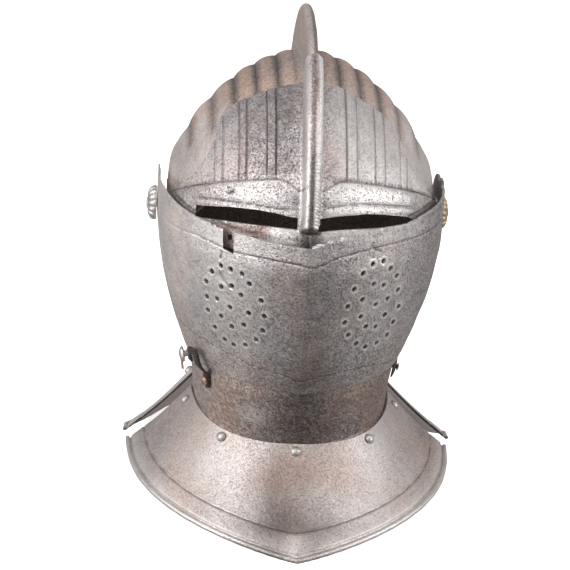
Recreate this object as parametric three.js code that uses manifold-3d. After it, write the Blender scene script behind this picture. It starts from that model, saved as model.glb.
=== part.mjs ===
// Close helmet of riveted steel plate, worn upright.
// Lengths are millimetres. X runs to the wearer's left, -Y to the front, +Z up.
// Forms are laid out about the ear axis, then the whole is moved to stand on Z = 0.
import * as THREE from 'three';
import Module from 'manifold-3d';

const wasm = await Module();
wasm.setup();
const { Manifold, Mesh: SolidMesh } = wasm;
const RAD = Math.PI / 180;

// named sizes
const SHEET = 1.5;
const GAP = 0.35;
const EAR = 104.5;
const VISOR_STEP = 2.6;
const BEVOR_STEP = 3.8;
const SKULL_STEP = 2.5;
const VISOR_EAR = EAR - VISOR_STEP;
const BEVOR_EAR = VISOR_EAR - BEVOR_STEP;
const SKULL_EAR = BEVOR_EAR - SKULL_STEP;
const KEEL_F = 156.2;
const CHIN_F = 142.0;
const COMB_HALF = 4.0;
const COMB_R = 151.2;
const VISOR_COMB_R = 153.6;
const PIN_R = 3.0;
const BASE_Z = -202.4;
const MID_Y = -16.0;
const NECK_F = 106.5;
const NECK_A = 73.0;
const NECK_STEP = 2.4;
const HOOK_SIDE = 1;

// smooth curve through rows of [place, value]
function curve(rows, t) {
  const n = rows.length;
  if (t <= rows[0][0]) return rows[0][1];
  if (t >= rows[n - 1][0]) return rows[n - 1][1];
  const slope = [];
  for (let i = 0; i < n - 1; i++) {
    slope.push((rows[i + 1][1] - rows[i][1]) / (rows[i + 1][0] - rows[i][0]));
  }
  const tangent = [slope[0]];
  for (let i = 1; i < n - 1; i++) {
    const same = slope[i - 1] * slope[i] > 0;
    tangent.push(same ? (2 * slope[i - 1] * slope[i]) / (slope[i - 1] + slope[i]) : 0);
  }
  tangent.push(slope[n - 2]);
  let k = 0;
  while (t > rows[k + 1][0]) k++;
  const h = rows[k + 1][0] - rows[k][0];
  const s = (t - rows[k][0]) / h;
  const a = (2 * s ** 3 - 3 * s ** 2 + 1) * rows[k][1];
  const b = (s ** 3 - 2 * s ** 2 + s) * h * tangent[k];
  const c = (-2 * s ** 3 + 3 * s ** 2) * rows[k + 1][1];
  const d = (s ** 3 - s ** 2) * h * tangent[k + 1];
  return a + b + c + d;
}

// rows of [place, share], the share running from one length to another
function between(rows, low, high) {
  return rows.map(([t, share]) => [t, low + share * (high - low)]);
}

// closed solid from points and triangles, turned outward
function solid(points, faces) {
  let volume = 0;
  for (const [i, j, k] of faces) {
    const [a, b, c] = [points[i], points[j], points[k]];
    volume += a[0] * (b[1] * c[2] - b[2] * c[1]);
    volume += a[1] * (b[2] * c[0] - b[0] * c[2]);
    volume += a[2] * (b[0] * c[1] - b[1] * c[0]);
  }
  const list = volume < 0 ? faces.map(([i, j, k]) => [i, k, j]) : faces;
  return new Manifold(new SolidMesh({
    numProp: 3,
    vertProperties: new Float32Array(points.flat()),
    triVerts: new Uint32Array(list.flat()),
  }));
}

// tube of closed loops with flat fans at both ends
function loft(loops) {
  const n = loops[0].length;
  const points = loops.flat();
  const faces = [];
  for (let i = 0; i < loops.length - 1; i++) {
    for (let j = 0; j < n; j++) {
      const k = (j + 1) % n;
      faces.push([i * n + j, i * n + k, (i + 1) * n + k]);
      faces.push([i * n + j, (i + 1) * n + k, (i + 1) * n + j]);
    }
  }
  const last = (loops.length - 1) * n;
  for (let j = 1; j < n - 1; j++) {
    faces.push([0, j + 1, j]);
    faces.push([last, last + j, last + j + 1]);
  }
  return solid(points, faces);
}

// upper forms: sections in planes through the ear axis, angle 0 forward and 90 up
const skullForm = {
  W: SKULL_EAR,
  R: [[20, 126], [40, 124], [64, 121.5], [90, 118], [110, 117.3], [135, 118.5], [160, 120], [180, 121]],
  p: [[20, 1.6], [64, 1.7], [108, 1.72], [150, 1.76], [180, 1.9]],
  q: [[20, 2.2], [64, 2.08], [108, 2.05], [180, 2.2]],
};
const visorForm = {
  W: VISOR_EAR,
  R: [[-14, 139], [10.7, 137], [30, 133.5], [50, 128.8], [64, 125.3], [74, 123.8]],
  p: [[-14, 1.6], [12, 1.6], [64, 1.58]],
  q: [[-14, 2.7], [12, 2.7], [64, 2.12]],
};

function polarPoint(form, phi, beta, inset, flute) {
  const p = curve(form.p, phi);
  const q = curve(form.q, phi);
  const x = (form.W - inset) * Math.sin(Math.abs(beta)) ** (2 / p) * Math.sign(beta);
  const lift = flute ? flute(phi, x) : 0;
  const r = (curve(form.R, phi) - inset + lift) * Math.max(0, Math.cos(beta)) ** (2 / q);
  return [x, -r * Math.cos(phi * RAD), r * Math.sin(phi * RAD)];
}

function polarSolid(form, from, to, step, cols, inset, flute) {
  const points = [[form.W - inset, 0, 0], [inset - form.W, 0, 0]];
  const rows = [];
  const turn = to - from >= 360;
  const count = Math.round((to - from) / step);
  for (let i = 0; i < (turn ? count : count + 1); i++) rows.push(from + (i * (to - from)) / count);
  const betas = [];
  for (let j = cols - 1; j >= 1 - cols; j--) betas.push((j / cols) * 90 * RAD);
  for (const phi of rows) {
    for (const beta of betas) points.push(polarPoint(form, phi, beta, inset, flute));
  }
  const n = betas.length;
  const at = (i, j) => 2 + (i % rows.length) * n + j;
  const faces = [];
  const spans = turn ? rows.length : rows.length - 1;
  for (let i = 0; i < spans; i++) {
    faces.push([0, at(i, 0), at(i + 1, 0)]);
    faces.push([1, at(i + 1, n - 1), at(i, n - 1)]);
    for (let j = 0; j < n - 1; j++) {
      faces.push([at(i, j), at(i, j + 1), at(i + 1, j + 1)]);
      faces.push([at(i, j), at(i + 1, j + 1), at(i + 1, j)]);
    }
  }
  if (!turn) {
    const last = rows.length - 1;
    for (let j = 0; j < n - 1; j++) {
      faces.push([1, at(0, j + 1), at(0, j)]);
      faces.push([1, at(last, j), at(last, j + 1)]);
    }
    faces.push([1, at(0, 0), 0]);
    faces.push([1, 0, at(last, 0)]);
  }
  return solid(points, faces);
}

// lower forms: level sections, front half keeled, back half round
const ventailForm = {
  A: between([[-104, 0.7608], [-93, 0.8029], [-71, 0.8746], [-40, 0.955], [0, 1], [30, 1]], 0, EAR),
  F: between([[-104, 0.7785], [-90, 0.8169], [-47, 0.9206], [-20, 0.9744], [0, 1], [15, 0.9955], [31, 0.9923]], 0, KEEL_F),
  p: [[-104, 1.16], [20, 1.12]],
  q: [[-104, 2.8], [20, 3.0]],
  B: 40,
};
const bevorForm = {
  A: between([[-152, 0], [-138, 0.012], [-125, 0.06], [-110, 0.159], [-97, 0.239], [-84, 0.339], [-60, 0.637],
    [-30, 0.928], [0, 1], [30, 1]], NECK_A, BEVOR_EAR),
  F: between([[-152, 0], [-144, 0], [-120, 0.183], [-97, 0.389], [-84, 0.465], [-40, 0.831], [0, 1]], NECK_F, CHIN_F),
  p: [[-152, 2.4], [-110, 1.55], [-97, 1.2], [0, 1.15]],
  q: [[-152, 2.4], [-97, 2.7], [0, 3.0]],
  B: 40,
};
const skullLower = {
  A: between([[-150, 0], [-138, 0.004], [-125, 0.052], [-110, 0.152], [-97, 0.232], [-84, 0.332], [-60, 0.632],
    [-30, 0.928], [0, 1]], NECK_A - NECK_STEP, SKULL_EAR),
  F: [[-150, 90], [0, 90]],
  p: [[-150, 2], [0, 1.9]],
  q: [[-150, 2.2], [0, 2.2]],
  B: [[-150, 75.5], [-132, 76], [-110, 81], [-60, 107], [-30, 117], [0, 121]],
};

function levelPoint(form, z, beta, inset, back) {
  const A = curve(form.A, z) - inset;
  const p = back ? 1.9 : curve(form.p, z);
  const q = back ? 2.2 : curve(form.q, z);
  const reach = back ? curve(form.B, z) : curve(form.F, z);
  const x = A * Math.abs(Math.sin(beta)) ** (2 / p) * Math.sign(beta);
  const y = (reach - inset) * Math.max(0, Math.cos(beta)) ** (2 / q);
  return [x, back ? y : -y, z];
}

function levelSolid(form, levels, front, back, inset) {
  const loops = levels.map((z) => {
    const loop = [];
    for (let j = -front; j < front; j++) loop.push(levelPoint(form, z, (j / front) * 90 * RAD, inset, false));
    if (Array.isArray(form.B)) {
      for (let j = back; j > -back; j--) loop.push(levelPoint(form, z, (j / back) * 90 * RAD, inset, true));
    } else {
      const A = curve(form.A, z) - inset;
      loop.push([A, 0, z], [A, form.B, z], [-A, form.B, z]);
    }
    return loop;
  });
  return loft(loops);
}

// side outline in the Y-Z plane, cut straight through along X
function sideCut(outline, low = -160, high = 160) {
  let area = 0;
  outline.forEach(([a, b], i) => {
    const [c, d] = outline[(i + 1) % outline.length];
    area += a * d - c * b;
  });
  const loop = area < 0 ? [...outline].reverse() : outline;
  return Manifold.extrude(loop, high - low)
    .translate([0, 0, low])
    .transform([0, 1, 0, 0, 0, 0, 1, 0, 1, 0, 0, 0, 0, 0, 0, 1]);
}

function arc(cy, cz, r, from, to, steps) {
  const list = [];
  for (let i = 0; i <= steps; i++) {
    const a = (from + ((to - from) * i) / steps) * RAD;
    list.push([cy + r * Math.cos(a), cz + r * Math.sin(a)]);
  }
  return list;
}

// frame whose third axis follows the given direction
function basis(axis, place, spin = 0) {
  const z = new THREE.Vector3(...axis).normalize();
  const hint = Math.abs(z.z) > 0.9 ? new THREE.Vector3(0, 1, 0) : new THREE.Vector3(0, 0, 1);
  const x = hint.clone().cross(z).normalize();
  const y = z.clone().cross(x);
  const c = Math.cos(spin * RAD);
  const s = Math.sin(spin * RAD);
  const xr = x.clone().multiplyScalar(c).addScaledVector(y, s);
  const yr = y.clone().multiplyScalar(c).addScaledVector(x, -s);
  return [xr.x, xr.y, xr.z, 0, yr.x, yr.y, yr.z, 0, z.x, z.y, z.z, 0, place[0], place[1], place[2], 1];
}

// turned solid: profile of [radius, height], first and last on the axis
function turned(profile, segments, lobe = 0) {
  const points = [[0, 0, profile[0][1]]];
  const inner = profile.slice(1, -1);
  for (const [r, h] of inner) {
    for (let k = 0; k < segments; k++) {
      const a = (k / segments) * 2 * Math.PI;
      const wave = r > 5 ? 1 - lobe * (k % 2) : 1;
      points.push([r * wave * Math.cos(a), r * wave * Math.sin(a), h]);
    }
  }
  points.push([0, 0, profile[profile.length - 1][1]]);
  const top = points.length - 1;
  const at = (i, k) => 1 + i * segments + (k % segments);
  const faces = [];
  for (let k = 0; k < segments; k++) {
    faces.push([0, at(0, k + 1), at(0, k)]);
    for (let i = 0; i < inner.length - 1; i++) {
      faces.push([at(i, k), at(i, k + 1), at(i + 1, k + 1)]);
      faces.push([at(i, k), at(i + 1, k + 1), at(i + 1, k)]);
    }
    faces.push([top, at(inner.length - 1, k), at(inner.length - 1, k + 1)]);
  }
  return solid(points, faces);
}

function largest(body) {
  const parts = body.decompose();
  let best = parts[0];
  for (const part of parts) if (part.volume() > best.volume()) best = part;
  return best;
}

// comb: upright fin along the midline, cross-section half widths by height
function comb(phis, top, base, half, flare) {
  const loops = phis.map((phi) => {
    const R = top(phi);
    const b = base(phi);
    const side = [[half * 0.2, R], [half * 0.75, R - half * 0.35], [half, R - half * 1.1]];
    side.push([half, b + 5]);
    side.push([half + flare, b]);
    const loop = [...side.map(([x, r]) => [x, r]), ...side.reverse().map(([x, r]) => [-x, r])];
    return loop.map(([x, r]) => [x, -r * Math.cos(phi * RAD), r * Math.sin(phi * RAD)]);
  });
  return loft(loops);
}

function range(from, to, step) {
  const n = Math.round((to - from) / step);
  return Array.from({ length: n + 1 }, (_, i) => from + ((to - from) * i) / n);
}

const FLUTE = 1.5;
const FLUTE_PITCH = 15;
function skullFlute(phi, x) {
  const fade = Math.min(1, Math.max(0, (phi - 48) / 10)) * Math.min(1, Math.max(0, (196 - phi) / 20));
  const edge = Math.abs(x) > 88 ? 0 : 1;
  const cycle = (Math.abs(x) - 7) / FLUTE_PITCH;
  return fade * edge * FLUTE * (Math.abs(Math.sin(Math.PI * cycle)) - 0.8);
}

// skull bowl with comb
function combTop(phi, cut) {
  return curve([[40, COMB_R], [138, COMB_R], [156, COMB_R - 11], [170, COMB_R - 26], [178, COMB_R - 36]], phi) - cut;
}
const bowlOuter = polarSolid(skullForm, 26, 386, 12, 14, 0, skullFlute).trimByPlane([0, 0, 1], 0);
const bowlInner = polarSolid(skullForm, 26, 386, 18, 7, SHEET + 0.6).trimByPlane([0, 0, 1], 0);
const skullLevels = [-150, -138, -125, -105, -84, -56, -28, 0];
const napeOuter = levelSolid(skullLower, skullLevels, 4, 8, 0);
const napeInner = levelSolid(skullLower, skullLevels, 4, 7, SHEET);
const combPhis = range(44, 178, 7.5);
const combOuter = comb(combPhis, (f) => combTop(f, 0), (f) => curve(skullForm.R, f) - 3, COMB_HALF, 4);
const combInner = comb(range(44, 172, 12), (f) => combTop(f, SHEET + 0.3), (f) => curve(skullForm.R, f) - 12, COMB_HALF - SHEET, 3);
const skullOutline = [[-130, 98], [-112, 80], [-98, 60], [-86, 38], [-76, 20], [-64, 6], [-50, 0.5], [-18, 0],
  [-15, -60], [-12, -112],
  [-9, -150], [170, -150], [170, 180], [-60, 180], [-150, 125]];
const pinHole = Manifold.cylinder(260, PIN_R + 0.3, PIN_R + 0.3, 20, true).transform(basis([1, 0, 0], [0, 0, 0]));

// gorget surfaces: straight lines from the neck edge out to the rolled rim
const frontGorget = {
  top: { A: NECK_A + 1.7, F: NECK_F + 1.7, p: 2.4, q: 2.4, end: -14, z: (y) => -139 + (5.5 * (y + 14)) / 93.5 },
  rim: { A: 121.5, F: 181, p: 1.1, q: 2.6, end: -18, z: (y) => -181.5 + (19.5 * (y + 16)) / 165 },
  sign: -1,
};
const rearGorget = {
  top: { A: 72.6, F: 77.8, p: 1.9, q: 2.2, end: 4, z: (y) => -135 - 1.5 * (y / 77) },
  rim: { A: 124, F: 149, p: 2.0, q: 2.1, end: -11, back: 16,
    z: (y) => Math.max(-201, -178 - 23 * Math.sin(Math.min(1, Math.max(0, y) / 88) * Math.PI / 2)) },
  sign: 1,
};

function rimPoint(edge, sign, u) {
  const back = edge.back ?? 0;
  const reach = edge.F + back;
  const last = Math.acos(((sign * edge.end + back) / reach) ** (edge.q / 2));
  const beta = u * last;
  const x = edge.A * Math.abs(Math.sin(beta)) ** (2 / edge.p) * Math.sign(u);
  const y = sign * (reach * Math.cos(beta) ** (2 / edge.q) - back);
  return new THREE.Vector3(x, y, edge.z(y));
}

function gorgetPoint(g, u, t) {
  const a = rimPoint(g.top, g.sign, u);
  const b = rimPoint(g.rim, g.sign, u);
  const p = a.clone().lerp(b, t);
  p.z -= 2.2 * Math.sin(Math.PI * Math.min(1, Math.max(0, t)));
  return p;
}

function gorgetNormal(g, u, t) {
  const e = 0.02;
  const du = gorgetPoint(g, Math.min(1, u + e), t).sub(gorgetPoint(g, Math.max(-1, u - e), t));
  const dt = gorgetPoint(g, u, t + e).sub(gorgetPoint(g, u, t - e));
  const n = du.cross(dt).normalize();
  return n.z < 0 ? n.negate() : n;
}

function sheet(g, cols, places, outer, inner) {
  const faces = [];
  const points = [];
  const n = cols + 1;
  for (const off of [outer, inner]) {
    for (const t of places) {
      for (let j = 0; j <= cols; j++) {
        const u = -1 + (2 * j) / cols;
        const p = gorgetPoint(g, u, t).addScaledVector(gorgetNormal(g, u, t), off);
        points.push([p.x, p.y, p.z]);
      }
    }
  }
  const rows = places.length;
  const at = (k, i, j) => k * rows * n + i * n + j;
  for (let i = 0; i < rows - 1; i++) {
    for (let j = 0; j < cols; j++) {
      faces.push([at(0, i, j), at(0, i, j + 1), at(0, i + 1, j + 1)]);
      faces.push([at(0, i, j), at(0, i + 1, j + 1), at(0, i + 1, j)]);
      faces.push([at(1, i, j), at(1, i + 1, j + 1), at(1, i, j + 1)]);
      faces.push([at(1, i, j), at(1, i + 1, j), at(1, i + 1, j + 1)]);
    }
  }
  for (let j = 0; j < cols; j++) {
    faces.push([at(0, 0, j), at(1, 0, j + 1), at(0, 0, j + 1)]);
    faces.push([at(0, 0, j), at(1, 0, j), at(1, 0, j + 1)]);
    faces.push([at(0, rows - 1, j), at(0, rows - 1, j + 1), at(1, rows - 1, j + 1)]);
    faces.push([at(0, rows - 1, j), at(1, rows - 1, j + 1), at(1, rows - 1, j)]);
  }
  for (let i = 0; i < rows - 1; i++) {
    faces.push([at(0, i, 0), at(0, i + 1, 0), at(1, i + 1, 0)]);
    faces.push([at(0, i, 0), at(1, i + 1, 0), at(1, i, 0)]);
    faces.push([at(0, i, cols), at(1, i + 1, cols), at(0, i + 1, cols)]);
    faces.push([at(0, i, cols), at(1, i, cols), at(1, i + 1, cols)]);
  }
  return solid(points, faces);
}

// rolled rim: round bead along the outer edge, a little flattened at the ends
function bead(g, cols, radius) {
  const loops = [];
  for (let j = 0; j <= cols; j++) {
    const u = -1 + (2 * j) / cols;
    const p = gorgetPoint(g, u, 1);
    const up = new THREE.Vector3(0, 0, 1);
    const e = 0.03;
    const tangent = gorgetPoint(g, Math.min(1, u + e), 1).sub(gorgetPoint(g, Math.max(-1, u - e), 1)).normalize();
    const out = tangent.clone().cross(up).normalize();
    const top = out.clone().cross(tangent).normalize();
    const loop = [];
    for (let k = 0; k < 6; k++) {
      const a = (k / 6) * 2 * Math.PI;
      const q = p.clone().addScaledVector(out, radius * Math.cos(a)).addScaledVector(top, radius * Math.sin(a));
      loop.push([q.x, q.y, q.z]);
    }
    loops.push(loop);
  }
  return loft(loops);
}

const gorgetPlaces = [0, 0.2, 0.6, 1];
function buildGorget(g, cols) {
  let plate = sheet(g, cols, gorgetPlaces, 0, -SHEET);
  plate = plate.add(bead(g, cols, 2.1));
  return plate.trimByPlane([0, 0, 1], BASE_Z);
}
const GORGET_COLS = 20;
let gorgetFront = buildGorget(frontGorget, GORGET_COLS);
let gorgetRear = buildGorget(rearGorget, GORGET_COLS);

const flangePlaces = [-0.04, 0.17];
const bevorFlange = sheet(frontGorget, GORGET_COLS, flangePlaces, -SHEET - GAP, -2 * SHEET - GAP);
const skullFlange = sheet(rearGorget, GORGET_COLS, flangePlaces, -SHEET - GAP, -2 * SHEET - GAP);

// skull
let skull = bowlOuter.add(napeOuter).add(combOuter);
skull = skull.subtract(bowlInner.add(napeInner).add(combInner));
skull = skull.intersect(sideCut(skullOutline));
skull = skull.trimByPlane([0, 0, 1], -141.5).add(skullFlange).subtract(napeInner);

// visor
const visorPhis = range(-14, 66, 7.3);
const visorCombOuter = comb(visorPhis, () => VISOR_COMB_R, (f) => curve(visorForm.R, f) - 3, COMB_HALF + 2.4, 3.2);
const visorCombInner = comb(range(-18, 70, 8), () => VISOR_COMB_R - SHEET + 0.2, (f) => curve(visorForm.R, f) - 14, COMB_HALF + 0.8, 2.4);
let visor = polarSolid(visorForm, -120, 240, 9, 10, 0).add(visorCombOuter);
visor = visor.subtract(polarSolid(visorForm, -120, 240, 12, 9, SHEET).add(visorCombInner));
const visorTop = 60.5;
const visorOutline = [
  [-160, 3.5], [-91, 5], [-50, 4], [-24, -3], [-12, -9],
  ...arc(0, 0, 12.5, 245, 440, 7),
  [-20, 16], [-45, 21], [-60, 28], [-69, 37], [-74, 46], [-75, 55], [-72, 64], [-65, 73],
  [-98 * Math.cos(visorTop * RAD), 98 * Math.sin(visorTop * RAD)],
  [-170 * Math.cos(visorTop * RAD), 170 * Math.sin(visorTop * RAD)],
  [-170, 60],
];
visor = visor.intersect(sideCut(visorOutline));
// sights: long slots, deeper towards the bar
function frontCut(outline, depth) {
  let area = 0;
  outline.forEach(([a, b], i) => {
    const [c, d] = outline[(i + 1) % outline.length];
    area += a * d - c * b;
  });
  const loop = area < 0 ? [...outline].reverse() : outline;
  return Manifold.extrude(loop, depth).transform([1, 0, 0, 0, 0, 0, 1, 0, 0, -1, 0, 0, 0, 0, 0, 1]);
}
// places and heights as shares of the visor's half width, from the bar outwards and back
const sightInner = COMB_HALF + 3.4;
const sightOutlines = {
  1: [[0.195, 0.328], [0.39, 0.326], [0.51, 0.303], [0.67, 0.259], [0.745, 0.212], [0.69, 0.203], [0.48, 0.22], [0.235, 0.237]],
  [-1]: [[0.24, 0.334], [0.365, 0.336], [0.535, 0.316], [0.645, 0.29], [0.76, 0.255], [0.765, 0.172], [0.66, 0.198],
    [0.465, 0.225], [0.27, 0.238]],
};
for (const side of [1, -1]) {
  const outline = sightOutlines[side].map(([x, z]) => [side * x * VISOR_EAR, z * VISOR_EAR]);
  outline.unshift([side * sightInner, 0.32 * VISOR_EAR]);
  outline.push([side * sightInner, 0.235 * VISOR_EAR]);
  visor = visor.subtract(frontCut(outline, 170));
}
visor = visor.subtract(frontCut([[-55.4, 10.4], [-52.4, 10.4], [-52.4, 14.4], [-55.4, 14.4]], 170));

// ventail
const ventLevels = [-104, -90, -71, -50, -25, 0, 15, 31];
let ventail = levelSolid(ventailForm, ventLevels, 11, 0, 0);
ventail = ventail.subtract(levelSolid(ventailForm, [-107, -90, -71, -50, -25, 0, 15, 34], 10, 0, SHEET));
const ventLower = [
  ...arc(0, 0, 28.5, 110, -35, 9),
  [15, -34], [4, -66], [-4, -90], [-10, -100], [-60, -101], [-124, -100], [-170, -99],
];
const ventUpper = {
  1: [[-170, 17.6], [-155, 18.2], [-150, 21.4], [-144, 23.4], [-130, 25.2], [-118, 24.6], [-106, 24.6], [-92, 25.4], [-60, 27], [-42, 27.4], [-27, 27.2]],
  [-1]: [[-170, 17.6], [-155, 18.2], [-144, 17.6], [-128, 18.6], [-116, 19.2], [-102, 21.4], [-86, 23], [-67, 25.6], [-48, 27.4], [-27, 27.2]],
};
const ventRight = sideCut([...ventUpper[-1], ...ventLower], -160, 0);
const ventLeft = sideCut([...ventUpper[1], ...ventLower], 0, 160);
ventail = ventail.intersect(ventRight.add(ventLeft));
const notch = frontCut([[-58.7, 3.8], [-51.5, 3.8], [-51.5, 26], [-58.7, 26]], 170);
ventail = ventail.subtract(notch);
// breaths: centre hole, ring of eight and ring of sixteen in each cheek
const BREATH_R = 1.6;
for (const side of [1, -1]) {
  const lift = side > 0 ? 1.5 : -1.5;
  const centre = [side * 51, -113, -39 + lift];
  const axis = [side * 0.62, -0.73, -0.27];
  const frame = basis(axis, centre);
  const drill = (x, y) => Manifold.cylinder(70, BREATH_R, BREATH_R, 6, true).translate([x, y, 0]).transform(frame);
  const drills = [drill(0, 0)];
  for (let k = 0; k < 8; k++) drills.push(drill(14.5 * Math.cos((k * 45 + 12) * RAD), 14.5 * Math.sin((k * 45 + 12) * RAD)));
  for (let k = 0; k < 16; k++) drills.push(drill(28 * Math.cos(k * 22.5 * RAD), 28 * Math.sin(k * 22.5 * RAD)));
  ventail = ventail.subtract(Manifold.union(drills));
}

// lower bevor
const bevLevels = [-152, -138, -124, -110, -97, -84, -60, -30, 0, 24];
let bevor = levelSolid(bevorForm, bevLevels, 9, 0, 0);
bevor = bevor.subtract(levelSolid(bevorForm, [-154, -138, -124, -110, -97, -84, -60, -30, 0, 26], 8, 0, SHEET));
const bevOutline = [
  [-170, -86], [-62, -85], [-38, -72], [-24, -44], [-18, -14],
  ...arc(0, 0, 18, 180, -20, 9),
  [14, -30], [9, -80], [4, -118], [-2, -140.5], [-14, -142], [-60, -146.5], [-170, -149],
];
bevor = bevor.intersect(sideCut(bevOutline));
bevor = bevor.add(bevorFlange);

// fastenings
const steel = 0xb9b6b4;
const rivetSpots = [];
function rivetAt(name, g, u, t, head) {
  const p = gorgetPoint(g, u, t);
  const n = gorgetNormal(g, u, t);
  rivetSpots.push({ name, place: [p.x, p.y, p.z], axis: [n.x, n.y, n.z], head });
}
rivetAt('rivet_front_centre', frontGorget, 0, 0.0625, 'round');
rivetAt('rivet_front_left_inner', frontGorget, 0.505, 0.078, 'round');
rivetAt('rivet_front_right_inner', frontGorget, -0.475, 0.078, 'round');
rivetAt('rivet_front_left_outer', frontGorget, 0.94, 0.115, 'round');
rivetAt('rivet_front_right_outer', frontGorget, -0.93, 0.105, 'round');
rivetAt('rivet_rear_centre', rearGorget, 0, 0.09, 'round');
rivetAt('rivet_rear_left_inner', rearGorget, 0.45, 0.09, 'round');
rivetAt('rivet_rear_right_inner', rearGorget, -0.45, 0.09, 'round');
rivetAt('rivet_rear_left_outer', rearGorget, 0.88, 0.09, 'round');
rivetAt('rivet_rear_right_outer', rearGorget, -0.88, 0.09, 'round');

const stack = 2 * SHEET + GAP + 0.25;
const rivetSolid = turned([
  [0, -stack - GAP - 1.4], [2.2, -stack - GAP - 1.2], [2.9, -stack - GAP],
  [1.5, -stack - GAP], [1.5, GAP], [3.6, GAP], [3.4, GAP + 1.4], [2.2, GAP + 2.6], [0, GAP + 3.1],
], 10);
const rivets = [];
for (const spot of rivetSpots) {
  const frame = basis(spot.axis, spot.place);
  const hole = Manifold.cylinder(16, 1.85, 1.85, 10, true).transform(frame);
  rivets.push([spot.name, rivetSolid.transform(frame)]);
  if (spot.name.includes('front')) {
    gorgetFront = gorgetFront.subtract(hole);
    bevor = bevor.subtract(hole);
  } else {
    gorgetRear = gorgetRear.subtract(hole);
    skull = skull.subtract(hole);
  }
}

// place and outward direction on a lower form, at a height and a distance forward
function onForm(form, z, y, side) {
  const at = (h, d) => {
    const beta = Math.acos(Math.min(1, (d / curve(form.F, h)) ** (curve(form.q, h) / 2)));
    return new THREE.Vector3(...levelPoint(form, h, side * beta, 0, false));
  };
  const p = at(z, -y);
  const along = at(z, -y + 1).sub(at(z, -y - 1));
  const rise = at(z + 1, -y).sub(at(z - 1, -y));
  const n = along.cross(rise).normalize();
  if (n.x * side < 0) n.negate();
  return { place: [p.x, p.y, p.z], axis: [n.x, n.y, n.z], frame: basis([n.x, n.y, n.z], [p.x, p.y, p.z]) };
}

const BURR = -SHEET - GAP - 0.4;

// swivel hook on the wearer's right: flat bar, joggled out over the ventail, end turned back
const rightSeat = onForm(bevorForm, -112, -70, -1);
const hookOutline = [[-3, -5], [0, -6], [3, -5], [3.2, 6], [4.6, 14], [4.8, 24], [3.4, 28], [-6, 27.4], [-11, 23],
  [-11.6, 15], [-8.4, 13.6], [-7.6, 20], [-5.4, 22.2], [-1.6, 22], [-1.8, 14], [-3, 6]];
function joggle(b) {
  return curve([[-6, 0], [5, 0.1], [8, 1.8], [12, 5.8], [16, 7.3], [28, 9.7]], b);
}
function ringUp(outline) {
  let area = 0;
  outline.forEach(([a, b], i) => {
    const [c, d] = outline[(i + 1) % outline.length];
    area += a * d - c * b;
  });
  return area < 0 ? [...outline].reverse() : outline;
}
let hookRight = Manifold.extrude(ringUp(hookOutline.map(([a, b]) => [HOOK_SIDE * a, b])), 2.2).refineToLength(7);
hookRight = hookRight.warp((v) => {
  v[2] += 0.4 + joggle(v[1]);
});
hookRight = hookRight.subtract(Manifold.cylinder(20, 2.05, 2.05, 10, true)).transform(rightSeat.frame);
const hookRivet = turned([
  [0, BURR - 1.2], [2.6, BURR - 1.0], [2.6, BURR], [1.7, BURR],
  [1.7, 3.0], [3.9, 3.0], [3.7, 4.2], [2.2, 5.4], [0, 5.8],
], 10);
const hookRivetRight = hookRivet.transform(rightSeat.frame);

// turning leaf on the wearer's left
const leftSeat = onForm(bevorForm, -113, -28, 1);
let hookLeft = Manifold.sphere(1, 14).scale([4.2, 10, 2.6]).trimByPlane([0, 0, 1], 0.0).translate([0, 0, 0.9]);
hookLeft = hookLeft.subtract(Manifold.cylinder(20, 2.05, 2.05, 10, true)).transform(leftSeat.frame);
const hookRivetLeft = turned([
  [0, BURR - 1.2], [2.6, BURR - 1.0], [2.6, BURR], [1.7, BURR],
  [1.7, 3.85], [3.2, 3.85], [2.8, 4.8], [0, 5.4],
], 10).transform(leftSeat.frame);

// studs: the catch under the hook, the side stud with its ring, and the small stud on the left
const catchStud = turned([
  [0, -SHEET - GAP - 0.7], [2.2, -SHEET - GAP - 0.7], [2.2, -SHEET - GAP], [1.3, -SHEET - GAP],
  [1.3, GAP], [2.6, GAP], [2.4, 0.9], [0, 1.3],
], 8);
const catchSeat = onForm(ventailForm, -96, -62, -1);
const catchRight = catchStud.transform(catchSeat.frame);
const bumpSeat = onForm(ventailForm, -95, -30, 1);
const catchLeft = catchStud.transform(bumpSeat.frame);
const studSeat = onForm(bevorForm, -108, -27, -1);
let sideStud = turned([
  [0, BURR - 1.2], [2.6, BURR - 1.0], [2.6, BURR], [1.7, BURR],
  [1.7, GAP], [5.4, GAP], [5.4, 1.6], [2.4, 2.0], [2.4, 4.4], [5.6, 4.8], [6.2, 5.8], [5.2, 7.2], [2.6, 8.4], [0, 8.8],
], 12);
sideStud = sideStud.add(Manifold.cube([3.4, 12, 1.8], true).translate([0, -5.6, 7.0]));
sideStud = sideStud.transform(studSeat.frame);
function drillAt(seat, radius) {
  return Manifold.cylinder(16, radius, radius, 10, true).transform(seat.frame);
}
bevor = bevor.subtract(drillAt(rightSeat, 2.05)).subtract(drillAt(leftSeat, 2.05)).subtract(drillAt(studSeat, 2.05));
ventail = ventail.subtract(drillAt(catchSeat, 1.65)).subtract(drillAt(bumpSeat, 1.65));

// ear pivots with ribbed round heads
const pivotSolid = turned([
  [0, SKULL_EAR - 6], [4.6, SKULL_EAR - 5.6], [5.2, SKULL_EAR - 4], [5.2, SKULL_EAR - 2.9], [PIN_R, SKULL_EAR - 2.9], [PIN_R, EAR + GAP],
  [12.2, EAR + GAP], [12.9, EAR + 2.0], [12.2, EAR + 4.6], [9, EAR + 6.6], [4.4, EAR + 7.6], [0, EAR + 7.9],
], 20, 0.07);
const pivotLeft = pivotSolid.transform(basis([1, 0, 0], [0, 0, 0]));
const pivotRight = pivotSolid.transform(basis([-1, 0, 0], [0, 0, 0]));

skull = skull.subtract(pinHole);
bevor = bevor.subtract(pinHole);
visor = visor.subtract(pinHole);
ventail = ventail.subtract(pinHole);

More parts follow.
